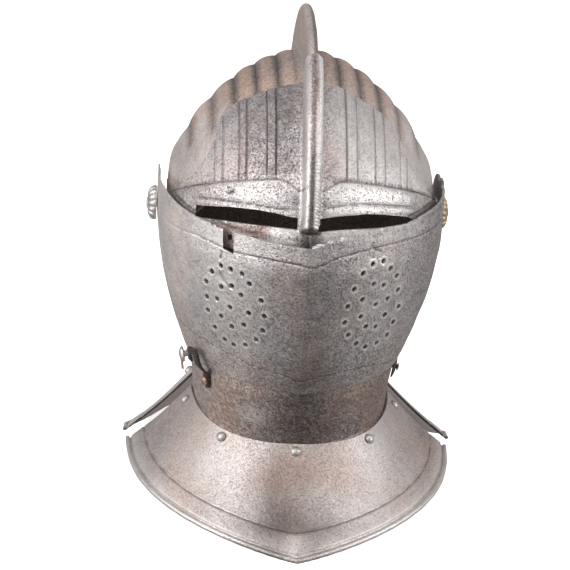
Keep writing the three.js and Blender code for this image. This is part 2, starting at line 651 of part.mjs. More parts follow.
const nodes = [
  ['skull', skull, 0x8f7f78],
  ['visor', visor, 0x9a9799],
  ['ventail', ventail, 0x8e8a8e],
  ['lower_bevor', bevor, 0x7a716d],
  ['gorget_front', gorgetFront, 0xada19b],
  ['gorget_rear', gorgetRear, 0x9c908a],
  ['pivot_left', pivotLeft, 0xa88e68],
  ['pivot_right', pivotRight, steel],
  ['hook_right', hookRight, 0x3a3330],
  ['hook_rivet_right', hookRivetRight, 0x8a6a5a],
  ['hook_left', hookLeft, 0x3a3330],
  ['hook_rivet_left', hookRivetLeft, 0x6a6360],
  ['catch_right', catchRight, steel],
  ['catch_left', catchLeft, steel],
  ['side_stud', sideStud, 0xa9a09c],
  ...rivets.map(([name, body]) => [name, body, steel]),
];

const group = new THREE.Group();
group.name = 'close_helmet';
for (const [name, raw, colour] of nodes) {
  const body = largest(raw.simplify(0.09)).translate([0, -MID_Y, -BASE_Z]);
  const mesh = body.getMesh();
  const geometry = new THREE.BufferGeometry();
  geometry.setAttribute('position', new THREE.BufferAttribute(new Float32Array(mesh.vertProperties), 3));
  geometry.setIndex(new THREE.BufferAttribute(new Uint32Array(mesh.triVerts), 1));
  geometry.computeVertexNormals();
  const item = new THREE.Mesh(geometry, new THREE.MeshStandardMaterial({ color: colour, metalness: 0.9, roughness: 0.4 }));
  item.name = name;
  group.add(item);
}
export default group;
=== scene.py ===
"""Close helmet of old riveted steel.

Fine plates, fittings, materials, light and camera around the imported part.
"""
import math

import bmesh
import bpy
import numpy as np
from mathutils import Matrix, Vector


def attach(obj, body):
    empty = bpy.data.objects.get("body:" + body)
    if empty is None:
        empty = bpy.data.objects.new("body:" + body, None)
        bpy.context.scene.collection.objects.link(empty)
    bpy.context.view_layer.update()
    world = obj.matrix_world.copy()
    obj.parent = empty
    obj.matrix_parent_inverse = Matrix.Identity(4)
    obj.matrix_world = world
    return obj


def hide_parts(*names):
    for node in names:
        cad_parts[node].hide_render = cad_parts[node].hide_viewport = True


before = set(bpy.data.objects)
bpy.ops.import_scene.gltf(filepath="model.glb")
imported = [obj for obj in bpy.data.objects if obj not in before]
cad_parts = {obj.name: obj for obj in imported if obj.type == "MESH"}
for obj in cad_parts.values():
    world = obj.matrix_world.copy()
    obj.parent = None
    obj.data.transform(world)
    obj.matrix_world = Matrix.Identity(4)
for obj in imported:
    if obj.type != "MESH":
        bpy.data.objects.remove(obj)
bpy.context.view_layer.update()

# The plates are laid out in millimetres about the ear axis, as the solids are.
MM = 0.001
EAR_AXIS = np.array((0.0, 16.0, 202.4))
DEG = math.pi / 180
SHEET = 1.5
GAP = 0.35
EAR = 104.5
VISOR_EAR = 101.9
BEVOR_EAR = 98.1
SKULL_EAR = 95.6
KEEL_F = 156.2
CHIN_F = 142.0
NECK_F = 106.5
NECK_A = 73.0
COMB_R = 151.2
VISOR_COMB_R = 153.6
BASE_Z = -202.4
SIDE_CUT = 160
FRONT_CUT = -170
NAPE_BOTTOM = -141.5
CORE_HALF = 8.0
FLUTE_START = 7
FLUTE_PITCH = 15
LINE_SHARE = .745


def curve(rows, t):
    """Smooth monotone curve through rows of (place, value)."""
    xs = np.array([r[0] for r in rows], float)
    ys = np.array([r[1] for r in rows], float)
    t = np.clip(t, xs[0], xs[-1])
    h = np.diff(xs)
    d = np.diff(ys) / h
    m = np.zeros(len(xs))
    m[0], m[-1] = d[0], d[-1]
    for i in range(1, len(xs) - 1):
        m[i] = 2 * d[i - 1] * d[i] / (d[i - 1] + d[i]) if d[i - 1] * d[i] > 0 else 0.0
    i = np.clip(np.searchsorted(xs, t, side="right") - 1, 0, len(xs) - 2)
    s = (t - xs[i]) / h[i]
    a = (2 * s**3 - 3 * s**2 + 1) * ys[i] + (s**3 - 2 * s**2 + s) * h[i] * m[i]
    return a + (-2 * s**3 + 3 * s**2) * ys[i + 1] + (s**3 - s**2) * h[i] * m[i + 1]


def between(rows, low, high):
    return [(t, low + share * (high - low)) for t, share in rows]


SKULL = {
    "W": SKULL_EAR,
    "R": [(20, 126), (40, 124), (64, 121.5), (90, 118), (110, 117.3), (135, 118.5), (160, 120), (180, 121)],
    "p": [(20, 1.6), (64, 1.7), (108, 1.72), (150, 1.76), (180, 1.9)],
    "q": [(20, 2.2), (64, 2.08), (108, 2.05), (180, 2.2)],
}
VISOR = {
    "W": VISOR_EAR,
    "R": [(-14, 139), (10.7, 137), (30, 133.5), (50, 128.8), (64, 125.3), (74, 123.8)],
    "p": [(-14, 1.6), (12, 1.6), (64, 1.58)],
    "q": [(-14, 2.7), (12, 2.7), (64, 2.12)],
}
VENTAIL = {
    "A": between([(-104, .7608), (-93, .8029), (-71, .8746), (-40, .955), (0, 1), (30, 1)], 0, EAR),
    "F": between([(-104, .7785), (-90, .8169), (-47, .9206), (-20, .9744), (0, 1), (15, .9955), (31, .9923)],
                 0, KEEL_F),
    "p": [(-104, 1.16), (20, 1.12)],
    "q": [(-104, 2.8), (20, 3.0)],
}
BEVOR = {
    "A": between([(-152, 0), (-138, .012), (-125, .06), (-110, .159), (-97, .239), (-84, .339), (-60, .637),
                  (-30, .928), (0, 1), (30, 1)], NECK_A, BEVOR_EAR),
    "F": between([(-152, 0), (-144, 0), (-120, .183), (-97, .389), (-84, .465), (-40, .831), (0, 1)],
                 NECK_F, CHIN_F),
    "p": [(-152, 2.4), (-110, 1.55), (-97, 1.2), (0, 1.15)],
    "q": [(-152, 2.4), (-97, 2.7), (0, 3.0)],
}
NAPE = {
    "A": between([(-150, 0), (-138, .004), (-125, .052), (-110, .152), (-97, .232), (-84, .332), (-60, .632),
                  (-30, .928), (0, 1)], NECK_A - 2.4, SKULL_EAR),
    "B": [(-150, 75.5), (-132, 76), (-110, 81), (-60, 107), (-30, 117), (0, 121)],
    "F": 90.0,
}


def arc(cy, cz, r, start, end, steps):
    return [(cy + r * math.cos((start + (end - start) * i / steps) * DEG),
             cz + r * math.sin((start + (end - start) * i / steps) * DEG)) for i in range(steps + 1)]


# side outlines (y, z) that trim each plate, cut straight across
SKULL_SIDE = [(-130, 98), (-112, 80), (-98, 60), (-86, 38), (-76, 20), (-64, 6), (-50, .5), (-18, 0),
              (-15, -60), (-12, -112), (-9, -150), (170, -150), (170, 180), (-60, 180), (-150, 125)]
VISOR_TOP = 60.5
VISOR_SIDE = ([(-160, 3.5), (-91, 5), (-50, 4), (-24, -3), (-12, -9)] + arc(0, 0, 12.5, 245, 440, 12)
              + [(-20, 16), (-45, 21), (-60, 28), (-69, 37), (-74, 46), (-75, 55), (-72, 64), (-65, 73)]
              + [(-98 * math.cos(VISOR_TOP * DEG), 98 * math.sin(VISOR_TOP * DEG)),
                 (-170 * math.cos(VISOR_TOP * DEG), 170 * math.sin(VISOR_TOP * DEG)), (-170, 60)])
VISOR_SIDE_LEFT = VISOR_SIDE[:-3] + [(-57.6, 79.3), (-60, 155)] + VISOR_SIDE[-1:]
VENTAIL_TOP = {
    1: [(-170, 17.8), (-155.4, 18), (-153.8, 19.6), (-150.5, 21.9), (-145, 23.3), (-138.5, 24.7),
        (-130, 25.8), (-121, 25.3), (-112, 24.4), (-104, 25.4), (-92, 27), (-60, 28), (-42, 27.6), (-27, 27.2)],
    -1: [(-170, 17.8), (-155.4, 18), (-152.5, 17.5), (-149.6, 17.2), (-144.6, 17.5), (-138.8, 18),
         (-133.8, 18.6), (-128, 18.8), (-117, 19.3), (-108, 21), (-101.6, 21.5), (-86, 23.2), (-67, 25.9),
         (-53, 28), (-27, 27.2)],
}
VENTAIL_SIDE = ([(-170, 40), (-27, 40)] + arc(0, 0, 28.5, 110, -35, 24)
                + [(15, -34), (4, -66), (-4, -90), (-10, -100), (-60, -101), (-124, -100), (-170, -99)])
BEVOR_SIDE = ([(-170, -86), (-62, -85), (-38, -72), (-24, -44), (-18, -14)] + arc(0, 0, 18, 180, -20, 16)
              + [(14, -30), (9, -80), (4, -118), (-2, -140.5), (-14, -142), (-60, -146.5), (-170, -149)])


def wobble(P, size, seed):
    """Soft unevenness of hammered plate, about -1 to 1, with features of the given size in mm."""
    rng = np.random.RandomState(seed)
    total = np.zeros(P.shape[:-1])
    for _ in range(7):
        k = rng.normal(size=3)
        k *= (0.6 + 0.8 * rng.rand()) * 2 * math.pi / (size * 2.0) / np.linalg.norm(k)
        total += np.sin(P @ k + rng.rand() * 2 * math.pi)
    return total / 3.2


def speckle(P):
    """Uneven value from -1 to 1 at each point, fixed by its place."""
    h = np.sin(np.round(P, 2) @ np.array((12.9898, 78.233, 37.719))) * 43758.5453
    return (h - np.floor(h)) * 2 - 1


def groove(distance, width):
    """1 on a line, 0 beyond its width."""
    return np.clip(1 - np.abs(distance) / width, 0, 1) ** 1.3


def step(x, low, high):
    t = np.clip((x - low) / (high - low), 0, 1)
    return t * t * (3 - 2 * t)


def hump(x, centre, width):
    """Soft swell of height 1 round a centre."""
    return np.exp(-((x - centre) / width) ** 2)


def bump_at(x, z, cx, cz, wx, wz):
    """Soft spot of the given half widths."""
    return np.exp(-((x - cx) / wx) ** 2 - ((z - cz) / wz) ** 2)


def grid_normals(P):
    n = np.cross(np.gradient(P, axis=0), np.gradient(P, axis=1))
    return n / np.maximum(np.linalg.norm(n, axis=2, keepdims=True), 1e-9)


def shell(P, lift, inward=SHEET, outward_from=(0, 0, 0)):
    """Closed sheet on a grid of points: face lifted along the normal, back one thickness behind it."""
    n = grid_normals(P)
    mid = (P.shape[0] // 2, P.shape[1] // 2)
    if np.dot(n[mid], P[mid] - np.array(outward_from)) < 0:
        n = -n
    outer = P + n * lift[..., None]
    inner = P - n * inward
    rows, cols = P.shape[:2]
    size = rows * cols
    index = np.arange(size).reshape(rows, cols)
    a, b, c, d = index[:-1, :-1], index[1:, :-1], index[1:, 1:], index[:-1, 1:]
    front = np.stack([a, b, c, d], -1).reshape(-1, 4)
    back = np.stack([d, c, b, a], -1).reshape(-1, 4) + size
    ring = np.concatenate([index[:, 0], index[-1, 1:], index[-2::-1, -1], index[0, -2:0:-1]])
    nxt = np.roll(ring, -1)
    side = np.stack([ring, ring + size, nxt + size, nxt], -1)
    verts = np.concatenate([outer.reshape(-1, 3), inner.reshape(-1, 3)])
    return verts, np.concatenate([front, back, side]).tolist()


def tube(loops):
    """Closed solid through equal loops, with fans at both ends."""
    loops = np.array(loops, float)
    n, m = loops.shape[:2]
    index = np.arange(n * m).reshape(n, m)
    nxt = np.roll(index, -1, axis=1)
    faces = np.stack([index[:-1], nxt[:-1], nxt[1:], index[1:]], -1).reshape(-1, 4).tolist()
    faces.append(index[0, ::-1].tolist())
    faces.append(index[-1].tolist())
    return loops.reshape(-1, 3), faces


def make(name, parts):
    """One mesh object from several closed parts given in millimetres about the ear axis."""
    verts, faces, start = [], [], 0
    for v, f in parts:
        verts.append(v)
        faces += [[i + start for i in face] for face in f]
        start += len(v)
    mesh = bpy.data.meshes.new(name)
    mesh.from_pydata(((np.concatenate(verts) + EAR_AXIS) * MM).tolist(), [], faces)
    mesh.update()
    obj = bpy.data.objects.new(name, mesh)
    bpy.context.scene.collection.objects.link(obj)
    fix_normals(mesh)
    return obj


def fix_normals(mesh):
    bm = bmesh.new()
    bm.from_mesh(mesh)
    bmesh.ops.recalc_face_normals(bm, faces=bm.faces)
    bm.to_mesh(mesh)
    bm.free()


def cut(obj, tool, operation):
    mod = obj.modifiers.new("cut", "BOOLEAN")
    mod.operation = operation
    mod.solver = "MANIFOLD"
    mod.object = tool
    graph = bpy.context.evaluated_depsgraph_get()
    mesh = bpy.data.meshes.new_from_object(obj.evaluated_get(graph))
    obj.modifiers.clear()
    obj.data = mesh
    bpy.data.objects.remove(tool)


def prism(outline, axis, low, high):
    """Outline of two coordinates drawn out along the third axis: x for side cuts, y for front cuts."""
    ends = []
    for t in (low, high):
        ends.append([(t, a, b) if axis == "x" else (a, t, b) for a, b in outline])
    return make("tool", [tube(ends)])


def trim(obj, outline):
    """Keeps what lies inside a side outline (y, z)."""
    cut(obj, prism(outline, "x", -SIDE_CUT, SIDE_CUT), "INTERSECT")


def pierce(obj, outline, back=-60):
    """Cuts a front outline (x, z) through the face side."""
    cut(obj, prism(outline, "y", FRONT_CUT, back), "DIFFERENCE")


def turned(profile, segments, centre, axis, wave=None):
    """Turned solid: profile of (radius, height) from the axis back to the axis."""
    z = Vector(axis).normalized()
    hint = Vector((0, 1, 0)) if abs(z.z) > 0.9 else Vector((0, 0, 1))
    x = hint.cross(z).normalized()
    y = z.cross(x)
    loops = []
    for r, h in profile:
        loop = []
        for k in range(segments):
            a = 2 * math.pi * k / segments
            rr, hh = wave(r, h, a) if wave else (r, h)
            rr = max(rr, 0.02)
            loop.append(tuple(Vector(centre) + x * (rr * math.cos(a)) + y * (rr * math.sin(a)) + z * hh))
        loops.append(loop)
    return tube(loops)


# plates
def polar(form, phi, g):
    """Surface points for angles phi (degrees) and shares g of the half width, 0 at the comb, 1 at the ear."""
    p = curve(form["p"], phi)
    q = curve(form["q"], phi)
    side = np.sign(g)
    s = np.abs(g)
    r = curve(form["R"], phi) * np.clip(1 - s**p, 0, 1) ** (1 / q)
    return np.stack([form["W"] * s * side, -r * np.cos(phi * DEG), r * np.sin(phi * DEG)], -1)


def shares(p, q, pace, extra=()):
    """Shares of the half width spaced evenly along the section, with extra ones added."""
    s = 1 - np.linspace(0, 1, 4000) ** 2.2
    s = s[::-1]
    y = np.clip(1 - s**p, 0, 1) ** (1 / q)
    length = np.concatenate([[0], np.cumsum(np.hypot(np.diff(s), np.diff(y) * 1.25))])
    even = np.interp(np.linspace(0, length[-1], int(length[-1] / pace)), length, s)
    return np.unique(np.concatenate([even, np.array(extra)])) if len(extra) else even


def spaced(*zones):
    """Places through zones of (from, to, pace), each joint counted once."""
    out = []
    for low, high, pace in zones:
        out += list(np.linspace(low, high, max(2, int(round(abs(high - low) / pace)) + 1)))[:-1]
    return np.array(out + [zones[-1][1]])


def comb_profile(half, flare, height):
    """Half of the comb's section as (x, h), from its foot to the ridge."""
    foot_top = 5.0
    cap = half * 1.1
    sweep = ((1, 0.0), (.55, .5), (.25, 1.6), (.06, 3.4), (0, foot_top))
    foot = [(half + flare * out, up) for out, up in sweep]
    wall = [(half, foot_top + (height - foot_top - cap) * t) for t in (.2, .4, .6, .8, 1.0)]
    crown = [(half * math.cos(a), height - cap * (1 - math.sin(a))) for a in np.linspace(.25, 1.5708, 5)]
    return np.array(foot + wall + crown)


def ear_swell(reach):
    """How far the skull stands out over the ear, by distance from the ear axis."""
    rows = [(0, 0), (19, 0), (24, 2.4), (28, 4.0), (40, 5.0), (48, 3.6), (62, 2.8), (90, 1.2), (120, 0)]
    return curve(rows, reach)


def flute_wave(x):
    """0 in the valleys between the flutes, 1 on their backs."""
    return np.abs(np.sin(np.pi * (np.abs(x) - FLUTE_START) / FLUTE_PITCH))


def skull_lift(x, phi):
    """Height of the flutes, which fade towards the brow, the nape and the ears."""
    fade = step(phi, 46, 58) * (1 - step(phi, 172, 196)) * (1 - step(np.abs(x), 82, 90))
    return fade * 1.9 * (flute_wave(x) ** .8 - .8)


COMB_DROP = [(40, 0), (138, 0), (156, 11), (170, 26), (178, 36)]


def build_skull():
    valleys = [FLUTE_START + FLUTE_PITCH * k for k in range(6)]
    cusps = [(x + o) / SKULL_EAR for x in valleys for o in (-1.1, -.45, 0, .45, 1.1)]
    cusps = [c for c in cusps if .1 < c < .95]
    g = shares(1.55, 2.08, .021, cusps)
    g = g[(g * SKULL_EAR > 8.8) & (g < .99985)]
    ridge_half = 3.7
    flare = 4.0
    full_height = 7.5
    profile_n = 15
    phis = spaced((0, 46, 2.3), (46, 170, 1.35), (170, 180, 1.6))[::-1]
    zs = spaced((NAPE_BOTTOM, 0, 3.0))[:-1]
    rows = []
    lifts = []
    for z in zs:
        A = curve(NAPE["A"], z)
        B = curve(NAPE["B"], z)
        xs = np.linspace(CORE_HALF, 0.0, profile_n) / SKULL_EAR
        full = np.concatenate([g[::-1], xs[:-1], -xs[::-1], -g])
        y = B * np.clip(1 - np.abs(full) ** 1.9, 0, 1) ** (1 / 2.2)
        rows.append(np.stack([A * full, y, np.full_like(full, z)], -1))
        lifts.append(np.zeros_like(full))
    for phi in phis:
        R = float(curve(SKULL["R"], phi))
        top = COMB_R - float(curve(COMB_DROP, phi))
        present = float(step(phi, 42.5, 45)) * (1 - float(step(phi, 174, 179)))
        height = max(0.0, (top - R) * present)
        base = comb_profile(ridge_half, flare, max(height, full_height))
        scale = min(1.0, height / full_height)
        even = np.linspace(CORE_HALF, 0.0, profile_n)
        cx = base[:, 0] * scale + even * (1 - scale)
        ch = base[:, 1] * scale
        full = np.concatenate([g[::-1], cx[:-1] / SKULL_EAR, -cx[::-1] / SKULL_EAR, -g])
        pts = polar(SKULL, np.full_like(full, phi), full)
        up = np.concatenate([np.zeros(len(g)), ch[:-1], ch[::-1], np.zeros(len(g))])
        direction = np.array([0, -math.cos(phi * DEG), math.sin(phi * DEG)])
        core = np.abs(full) * SKULL_EAR < CORE_HALF + .01
        across = full[core] * SKULL_EAR
        p, q = float(curve(SKULL["p"], phi)), float(curve(SKULL["q"], phi))
        edge_r = float(R * (1 - (CORE_HALF / SKULL_EAR) ** p) ** (1 / q))
        inward = 1 - np.minimum(1, np.abs(across) / CORE_HALF)
        rad = edge_r + (R - edge_r) * inward * (1 - scale) + up[core]
        pts[core] = rad[:, None] * direction
        pts[core, 0] = across
        rows.append(pts)
        lift = skull_lift(np.abs(full) * SKULL_EAR, phi)
        lift[core] = 0
        lifts.append(lift)
    P = np.array(rows)
    reach = np.hypot(P[..., 1], P[..., 2])
    by_the_ear = step(P[..., 2], 2, 14) * step(np.abs(P[..., 0]), 50, 74)
    P[..., 0] += np.sign(P[..., 0]) * ear_swell(reach) * by_the_ear
    lift = np.array(lifts) + .35 * wobble(P, 45, 3) + .12 * wobble(P, 14, 4)
    skull = make("skull_plate", [shell(P, lift, SHEET)])
    trim(skull, SKULL_SIDE)
    extra = []
    ys = spaced((0.6, -20, 1.6))
    for side in (1, -1):
        strip = []
        for z in spaced((NAPE_BOTTOM, 0, 3.0)):
            A = curve(NAPE["A"], z)
            strip.append([(side * A * (1 - (abs(min(0, y)) / NAPE["F"]) ** 2.2) ** (1 / 1.95), y, z)
                          for y in ys])
        strip = np.array(strip)
        extra.append(shell(strip, np.zeros(strip.shape[:2]), SHEET, (0, -10, -70)))
    strips = make("strips", extra)
    trim(strips, SKULL_SIDE)
    return join(skull, strips)


def join(first, *others):
    """Adds the meshes of the others to the first."""
    bm = bmesh.new()
    bm.from_mesh(first.data)
    for o in others:
        bm.from_mesh(o.data)
        bpy.data.objects.remove(o)
    mesh = bpy.data.meshes.new(first.name)
    bm.to_mesh(mesh)
    bm.free()
    first.data = mesh
    return first


SIGHTS = {
    1: [(4.2, 32), (12, 32.9), (20, 33.4), (40, 33.2), (52, 31), (60, 28.8), (68, 26.4), (75.2, 22.9),
        (76, 21.5), (70.5, 20.7), (60, 21.7), (49, 22.4), (36, 23.5), (24, 24.1), (13, 23.9), (4.2, 23.3)],
    -1: [(9, 32.3), (14.4, 32.7), (24.5, 34), (37, 34.2), (46, 33.3), (54.5, 32.2), (66, 29.6), (77.2, 26.2),
         (77.9, 17.4), (67.6, 20.2), (57.6, 21.9), (47.6, 22.9), (37.3, 23.7), (27.3, 24.2), (18.6, 24.4),
         (9, 24.4)],
}
# the flat ribs of the visor over each sight, as distances from the middle
RIBS = {-1: [(24.2, 30.6), (44.2, 49.4), (60.2, 65.6)], 1: [(24.2, 32.0), (45.2, 52.4), (64.2, 69.4)]}


def visor_arch(x):
    """Angle of the arched line over the sights."""
    return 25.3 - 3.6 * hump(np.abs(x), 7, 9) - .4 * step(np.abs(x), 60, 90)


def visor_second(x):
    """Angle of the lower line, just over the sights."""
    rows = [(-84, 19.4), (-75, 19.3), (-48, 17.6), (-14, 15.9), (0, 15.8), (9, 16.6), (38, 18.3), (69, 18.3),
            (80, 17.4)]
    return curve(rows, x)


def brow_extent(x):
    """1 where the raised brow band runs on each side of the comb."""
    right_band = step(x, -84, -72) * (1 - step(x, -13, -9)) * (x < 0)
    return right_band + step(x, 8, 12) * (1 - step(x, 70, 79)) * (x >= 0)


# short cracks on the visor at the wearer's right, as (x, z) pairs
BROW_CRACKS = [((-55.6, 44.6), (-54.2, 41)), ((-52, 44), (-53.6, 40.4)), ((-56.6, 42), (-55, 39.4)),
               ((-53.4, 42.8), (-51.8, 41.6))]


def scratches(x, z, lines, width):
    total = np.zeros(np.shape(x))
    for (ax, az), (bx, bz) in lines:
        length = math.hypot(bx - ax, bz - az)
        t = np.clip(((x - ax) * (bx - ax) + (z - az) * (bz - az)) / length ** 2, 0, 1)
        d = np.hypot(x - ax - t * (bx - ax), z - az - t * (bz - az))
        total = np.maximum(total, groove(d, width))
    return total


def visor_lift(x, phi, z):
    side = np.where(x < 0, -1, 1)
    lift = np.zeros_like(x)
    above = step(phi, 25.4, 27.0)
    for s in (-1, 1):
        for a, b in RIBS[s]:
            on = (side == s) * above
            rib = step(np.abs(x), a, a + .9) * (1 - step(np.abs(x), b - .9, b))
            lift += on * (.5 * rib - .7 * groove(np.abs(x) - a, .9) - .7 * groove(np.abs(x) - b, .9))
    arch = visor_arch(x)
    second = visor_second(x)
    wide = brow_extent(x)
    lift -= .75 * groove(phi - arch, .5) * step(np.abs(x), 8, 12)
    lift += wide * 1.25 * np.sin(np.pi * np.clip((arch - phi) / (arch - second), 0, 1)) ** .8
    lift -= .6 * groove(phi - second, .4) * wide
    lift += .7 * np.sin(np.pi * np.clip((second - phi) / 3.2, 0, 1)) * wide * (phi > 13)
    lift -= .8 * groove(x + 47.4, .7) * (phi > 15.2) * (phi < second)
    lift += rim_swell(phi) * (1 - step(np.abs(x), 80, 90))
    lift -= .8 * groove(x + .4, .9) * (phi < 10.4)
    lift -= 1.0 * scratches(x, z, BROW_CRACKS, .8)
    return lift


def rim_swell(phi):
    """Height of the rounded strip between the sights and the lower edge."""
    return 1.6 * np.sin(np.pi * np.clip((10.4 - phi) / 9.4, 0, 1)) ** .8


def comb_lean(phi):
    return -.3 * (1 - step(phi, 16, 40)) + .6 * step(phi, 36, 58)


def rope_wave(arc_mm, x):
    return np.sin(2 * math.pi * (arc_mm / 2.5 + x / 4.6))


PEG_HOLE = [(-55.4, 10.5), (-54.4, 9.9), (-52.6, 10.2), (-52.2, 12.4), (-52.8, 14.6), (-55, 14.4)]


def build_visor():
    halves = []
    for side in (1, -1):
        marks = [(m + o) / VISOR_EAR for pair in RIBS[side] for m in pair for o in (-.9, -.4, 0, .4, .9)]
        g = shares(1.6, 2.4, .0195, marks)
        g = np.unique(np.concatenate([g[(g * VISOR_EAR > 4.7) & (g < .9995)], [.046, .0475]])) * side
        phis = spaced((-72, -8, 4.0), (-8, 12.5, .8), (12.5, 27.5, .4), (27.5, 63, 1.3))
        P = np.array([polar(VISOR, np.full_like(g, phi), g) for phi in phis])
        phi_grid = np.repeat(phis[:, None], len(g), 1)
        lift = visor_lift(P[..., 0], phi_grid, P[..., 2]) + .3 * wobble(P, 40, 7) + .14 * wobble(P, 12, 8)
        half = make("half", [shell(P, lift)])
        outline = VISOR_SIDE if side < 0 else VISOR_SIDE_LEFT
        trim(half, outline)
        pierce(half, [(side * a, b) for a, b in SIGHTS[side]], -20)
        halves.append(half)
    pierce(halves[1], PEG_HOLE)
    # folded comb strip: its crown roped on the wearer's left, grooved over the bar
    phis = spaced((1.6, 6, .8), (6, 12, .25), (12, 62, .2))
    rows, lifts = [], []
    for phi in phis:
        R = float(curve(VISOR["R"], phi))
        half = 5.5 + .7 * float(step(phi, 17, 34)) + 1.0 * float(1 - step(phi, 10.5, 13.5))
        foot = float(step(phi, 9.0, 11.6))
        prof = comb_profile(half, 2.6, VISOR_COMB_R - R + .6)
        even = np.linspace(half + 2.6, 0, len(prof))
        prof[:, 0] = prof[:, 0] * foot + even * (1 - foot)
        sheet = R * (1 - (np.abs(prof[:, 0]) / VISOR_EAR) ** 1.6) ** (1 / 2.6) + rim_swell(phi) * 1.02
        prof[:, 1] = prof[:, 1] * foot + (R - .6) * foot + (sheet + .05) * (1 - foot)
        across = np.concatenate([prof[:-1], prof[::-1] * (-1, 1)])
        near = np.clip(1 - (VISOR_COMB_R - across[:, 1]) / 6.5, 0, 1) ** .6 * foot
        u = across[:, 0] / half
        rope = rope_wave(phi * DEG * VISOR_COMB_R, across[:, 0]) * step(u, .2, .4) * .5
        channel = -.9 * hump(u, -.12, .3) * (1 - float(step(phi, 24, 34)))
        seam = -.8 * groove(across[:, 0] + .4, 1.2) * (1 - foot)
        lifts.append(near * (rope + channel) + seam)
        across[:, 0] += float(comb_lean(phi))
        rows.append(across)
    rows = np.array(rows)
    a = phis * DEG
    P = np.stack([rows[..., 0], -rows[..., 1] * np.cos(a)[:, None], rows[..., 1] * np.sin(a)[:, None]], -1)
    strip = make("comb", [shell(P, np.array(lifts) + .12 * wobble(P, 14, 9), .9, (0, -60, 40))])
    trim(strip, VISOR_SIDE)
    for side in (1, -1):
        pierce(strip, [(side * out, up) for out, up in SIGHTS[side]], -20)
    halves[0].name = "visor_plate"
    return join(halves[0], halves[1], strip)


def level(form, z, g):
    """Front half of a level section: shares g of the half width from the keel (0) to the side (1)."""
    p = curve(form["p"], z)
    q = curve(form["q"], z)
    s = np.abs(g)
    x = curve(form["A"], z) * s * np.sign(g)
    y = -curve(form["F"], z) * np.clip(1 - s**p, 0, 1) ** (1 / q)
    return np.stack([x, y, np.broadcast_to(z, x.shape)], -1)


def level_grid(form, zs, g, tail):
    """Rows by height: from the rear of one arm, round the keel, to the rear of the other."""
    rows = []
    for z in zs:
        front = level(form, np.full_like(g, z), g)
        A = float(curve(form["A"], z))
        left = np.array([(A, y, z) for y in tail])
        right = left * (-1, 1, 1)
        mirrored = front[1:] * (-1, 1, 1)
        rows.append(np.concatenate([left[::-1], front[::-1], mirrored, right]))
    return np.array(rows)


# breath holes and cracks of the ventail, as (x, z)
HOLES_RIGHT = [(-59.4, -7.4), (-52.7, -8), (-45, -9), (-65.2, -14.2), (-68.4, -23.4), (-58.1, -23.6),
               (-51.2, -20.7), (-39.7, -15.5), (-44.7, -25.8), (-67.5, -35.6), (-60.6, -34.5), (-31.3, -26.6),
               (-51.6, -38.3), (-66.2, -46.6), (-38.9, -39.1), (-28.6, -38.8), (-57.2, -48), (-60.9, -59.6),
               (-49.6, -54.2), (-41.7, -49.9), (-28.9, -51), (-53.8, -67.5), (-47.6, -69.6), (-39.7, -66.9),
               (-32.8, -59.9)]
HOLES_LEFT = [(52.1, 1.8), (44.4, 1.2), (57.7, -5), (37.5, -4.2), (63.3, -12.3), (46.3, -14.5), (53.8, -17.2),
              (32, -15.5), (65.4, -24.5), (58, -29.3), (38.9, -25.3), (49.4, -31.8), (67.7, -39.3),
              (28.4, -28.8), (57.2, -42.6), (38.9, -39.3), (64.8, -51.5), (27.3, -41.8), (43.4, -48.8),
              (51, -51), (30.9, -52.9), (61.1, -61.8), (53.1, -65.9), (37.5, -61.8), (44.7, -66.7)]
HOLES = HOLES_RIGHT + HOLES_LEFT
PEG_NOTCH = [(-58.3, 5.2), (-51.3, 3.6), (-51.6, 14), (-51.2, 26), (-59.2, 26), (-58.8, 12)]
VENTAIL_CRACKS = [((-60, -12), (-57.2, -18)), ((-57.2, -18), (-52, -22.6)), ((23.6, 4.6), (27, -.6)),
                  ((27, -.6), (27.4, -3)), ((43, 15), (45.6, 11)), ((45.6, 11), (49.4, 9.4)),
                  ((-59, 3), (-60, -2))]


def hole_distance(x, z):
    """Distance to the nearest breath hole, wider across because the cheek turns away."""
    best = np.full(x.shape, 99.0)
    for hx, hz in HOLES:
        best = np.minimum(best, np.hypot((x - hx) * 1.25, z - hz))
    return best


def ventail_top(x, y):
    """Height of the upper edge."""
    ends = [np.interp(y, *zip(*VENTAIL_TOP[side])) for side in (1, -1)]
    return np.where(x > 0, ends[0], ends[1])


def ragged(outline, seed):
    """Outline with the small nicks of a worn edge along its front stretch."""
    rng = np.random.RandomState(seed)
    ys = np.arange(-155.2, -60, .7)
    zs = np.interp(ys, *zip(*outline)) + rng.normal(0, .16, len(ys))
    for _ in range(9):
        k = rng.randint(4, 70)
        zs[k:k + 2] -= .5 + .9 * rng.rand()
    front = [(-170, zs[0])] + list(zip(ys, zs))
    return front + [point for point in outline if point[0] > -60.5]


def ventail_line_up(x):
    """Height of the incised line under the upper edge."""
    return curve([(-90, 7), (-78, 8.3), (-50, 5.2), (-32, 5.8), (-7, 5.6), (0, 4.5), (23, 10.5), (60, 13),
                  (78, 12.9), (90, 13)], x)


def ventail_line_low(x):
    """Height of the incised line over the chin."""
    return curve([(-85, -72), (-64, -76.4), (-48, -80.2), (-30, -84.2), (-9, -86.2), (-1, -88.8), (7, -87),
                  (21, -85.9), (41, -85.2), (60, -89.5), (78, -95.6), (88, -98)], x)


def ventail_marks(P):
    x, y, z = P[..., 0], P[..., 1], P[..., 2]
    front = step(-y, 30, 45)
    up = groove(z - ventail_line_up(x), .9) * front
    low = groove(z - ventail_line_low(x), .9) * step(-y, 28, 40)
    return up, low


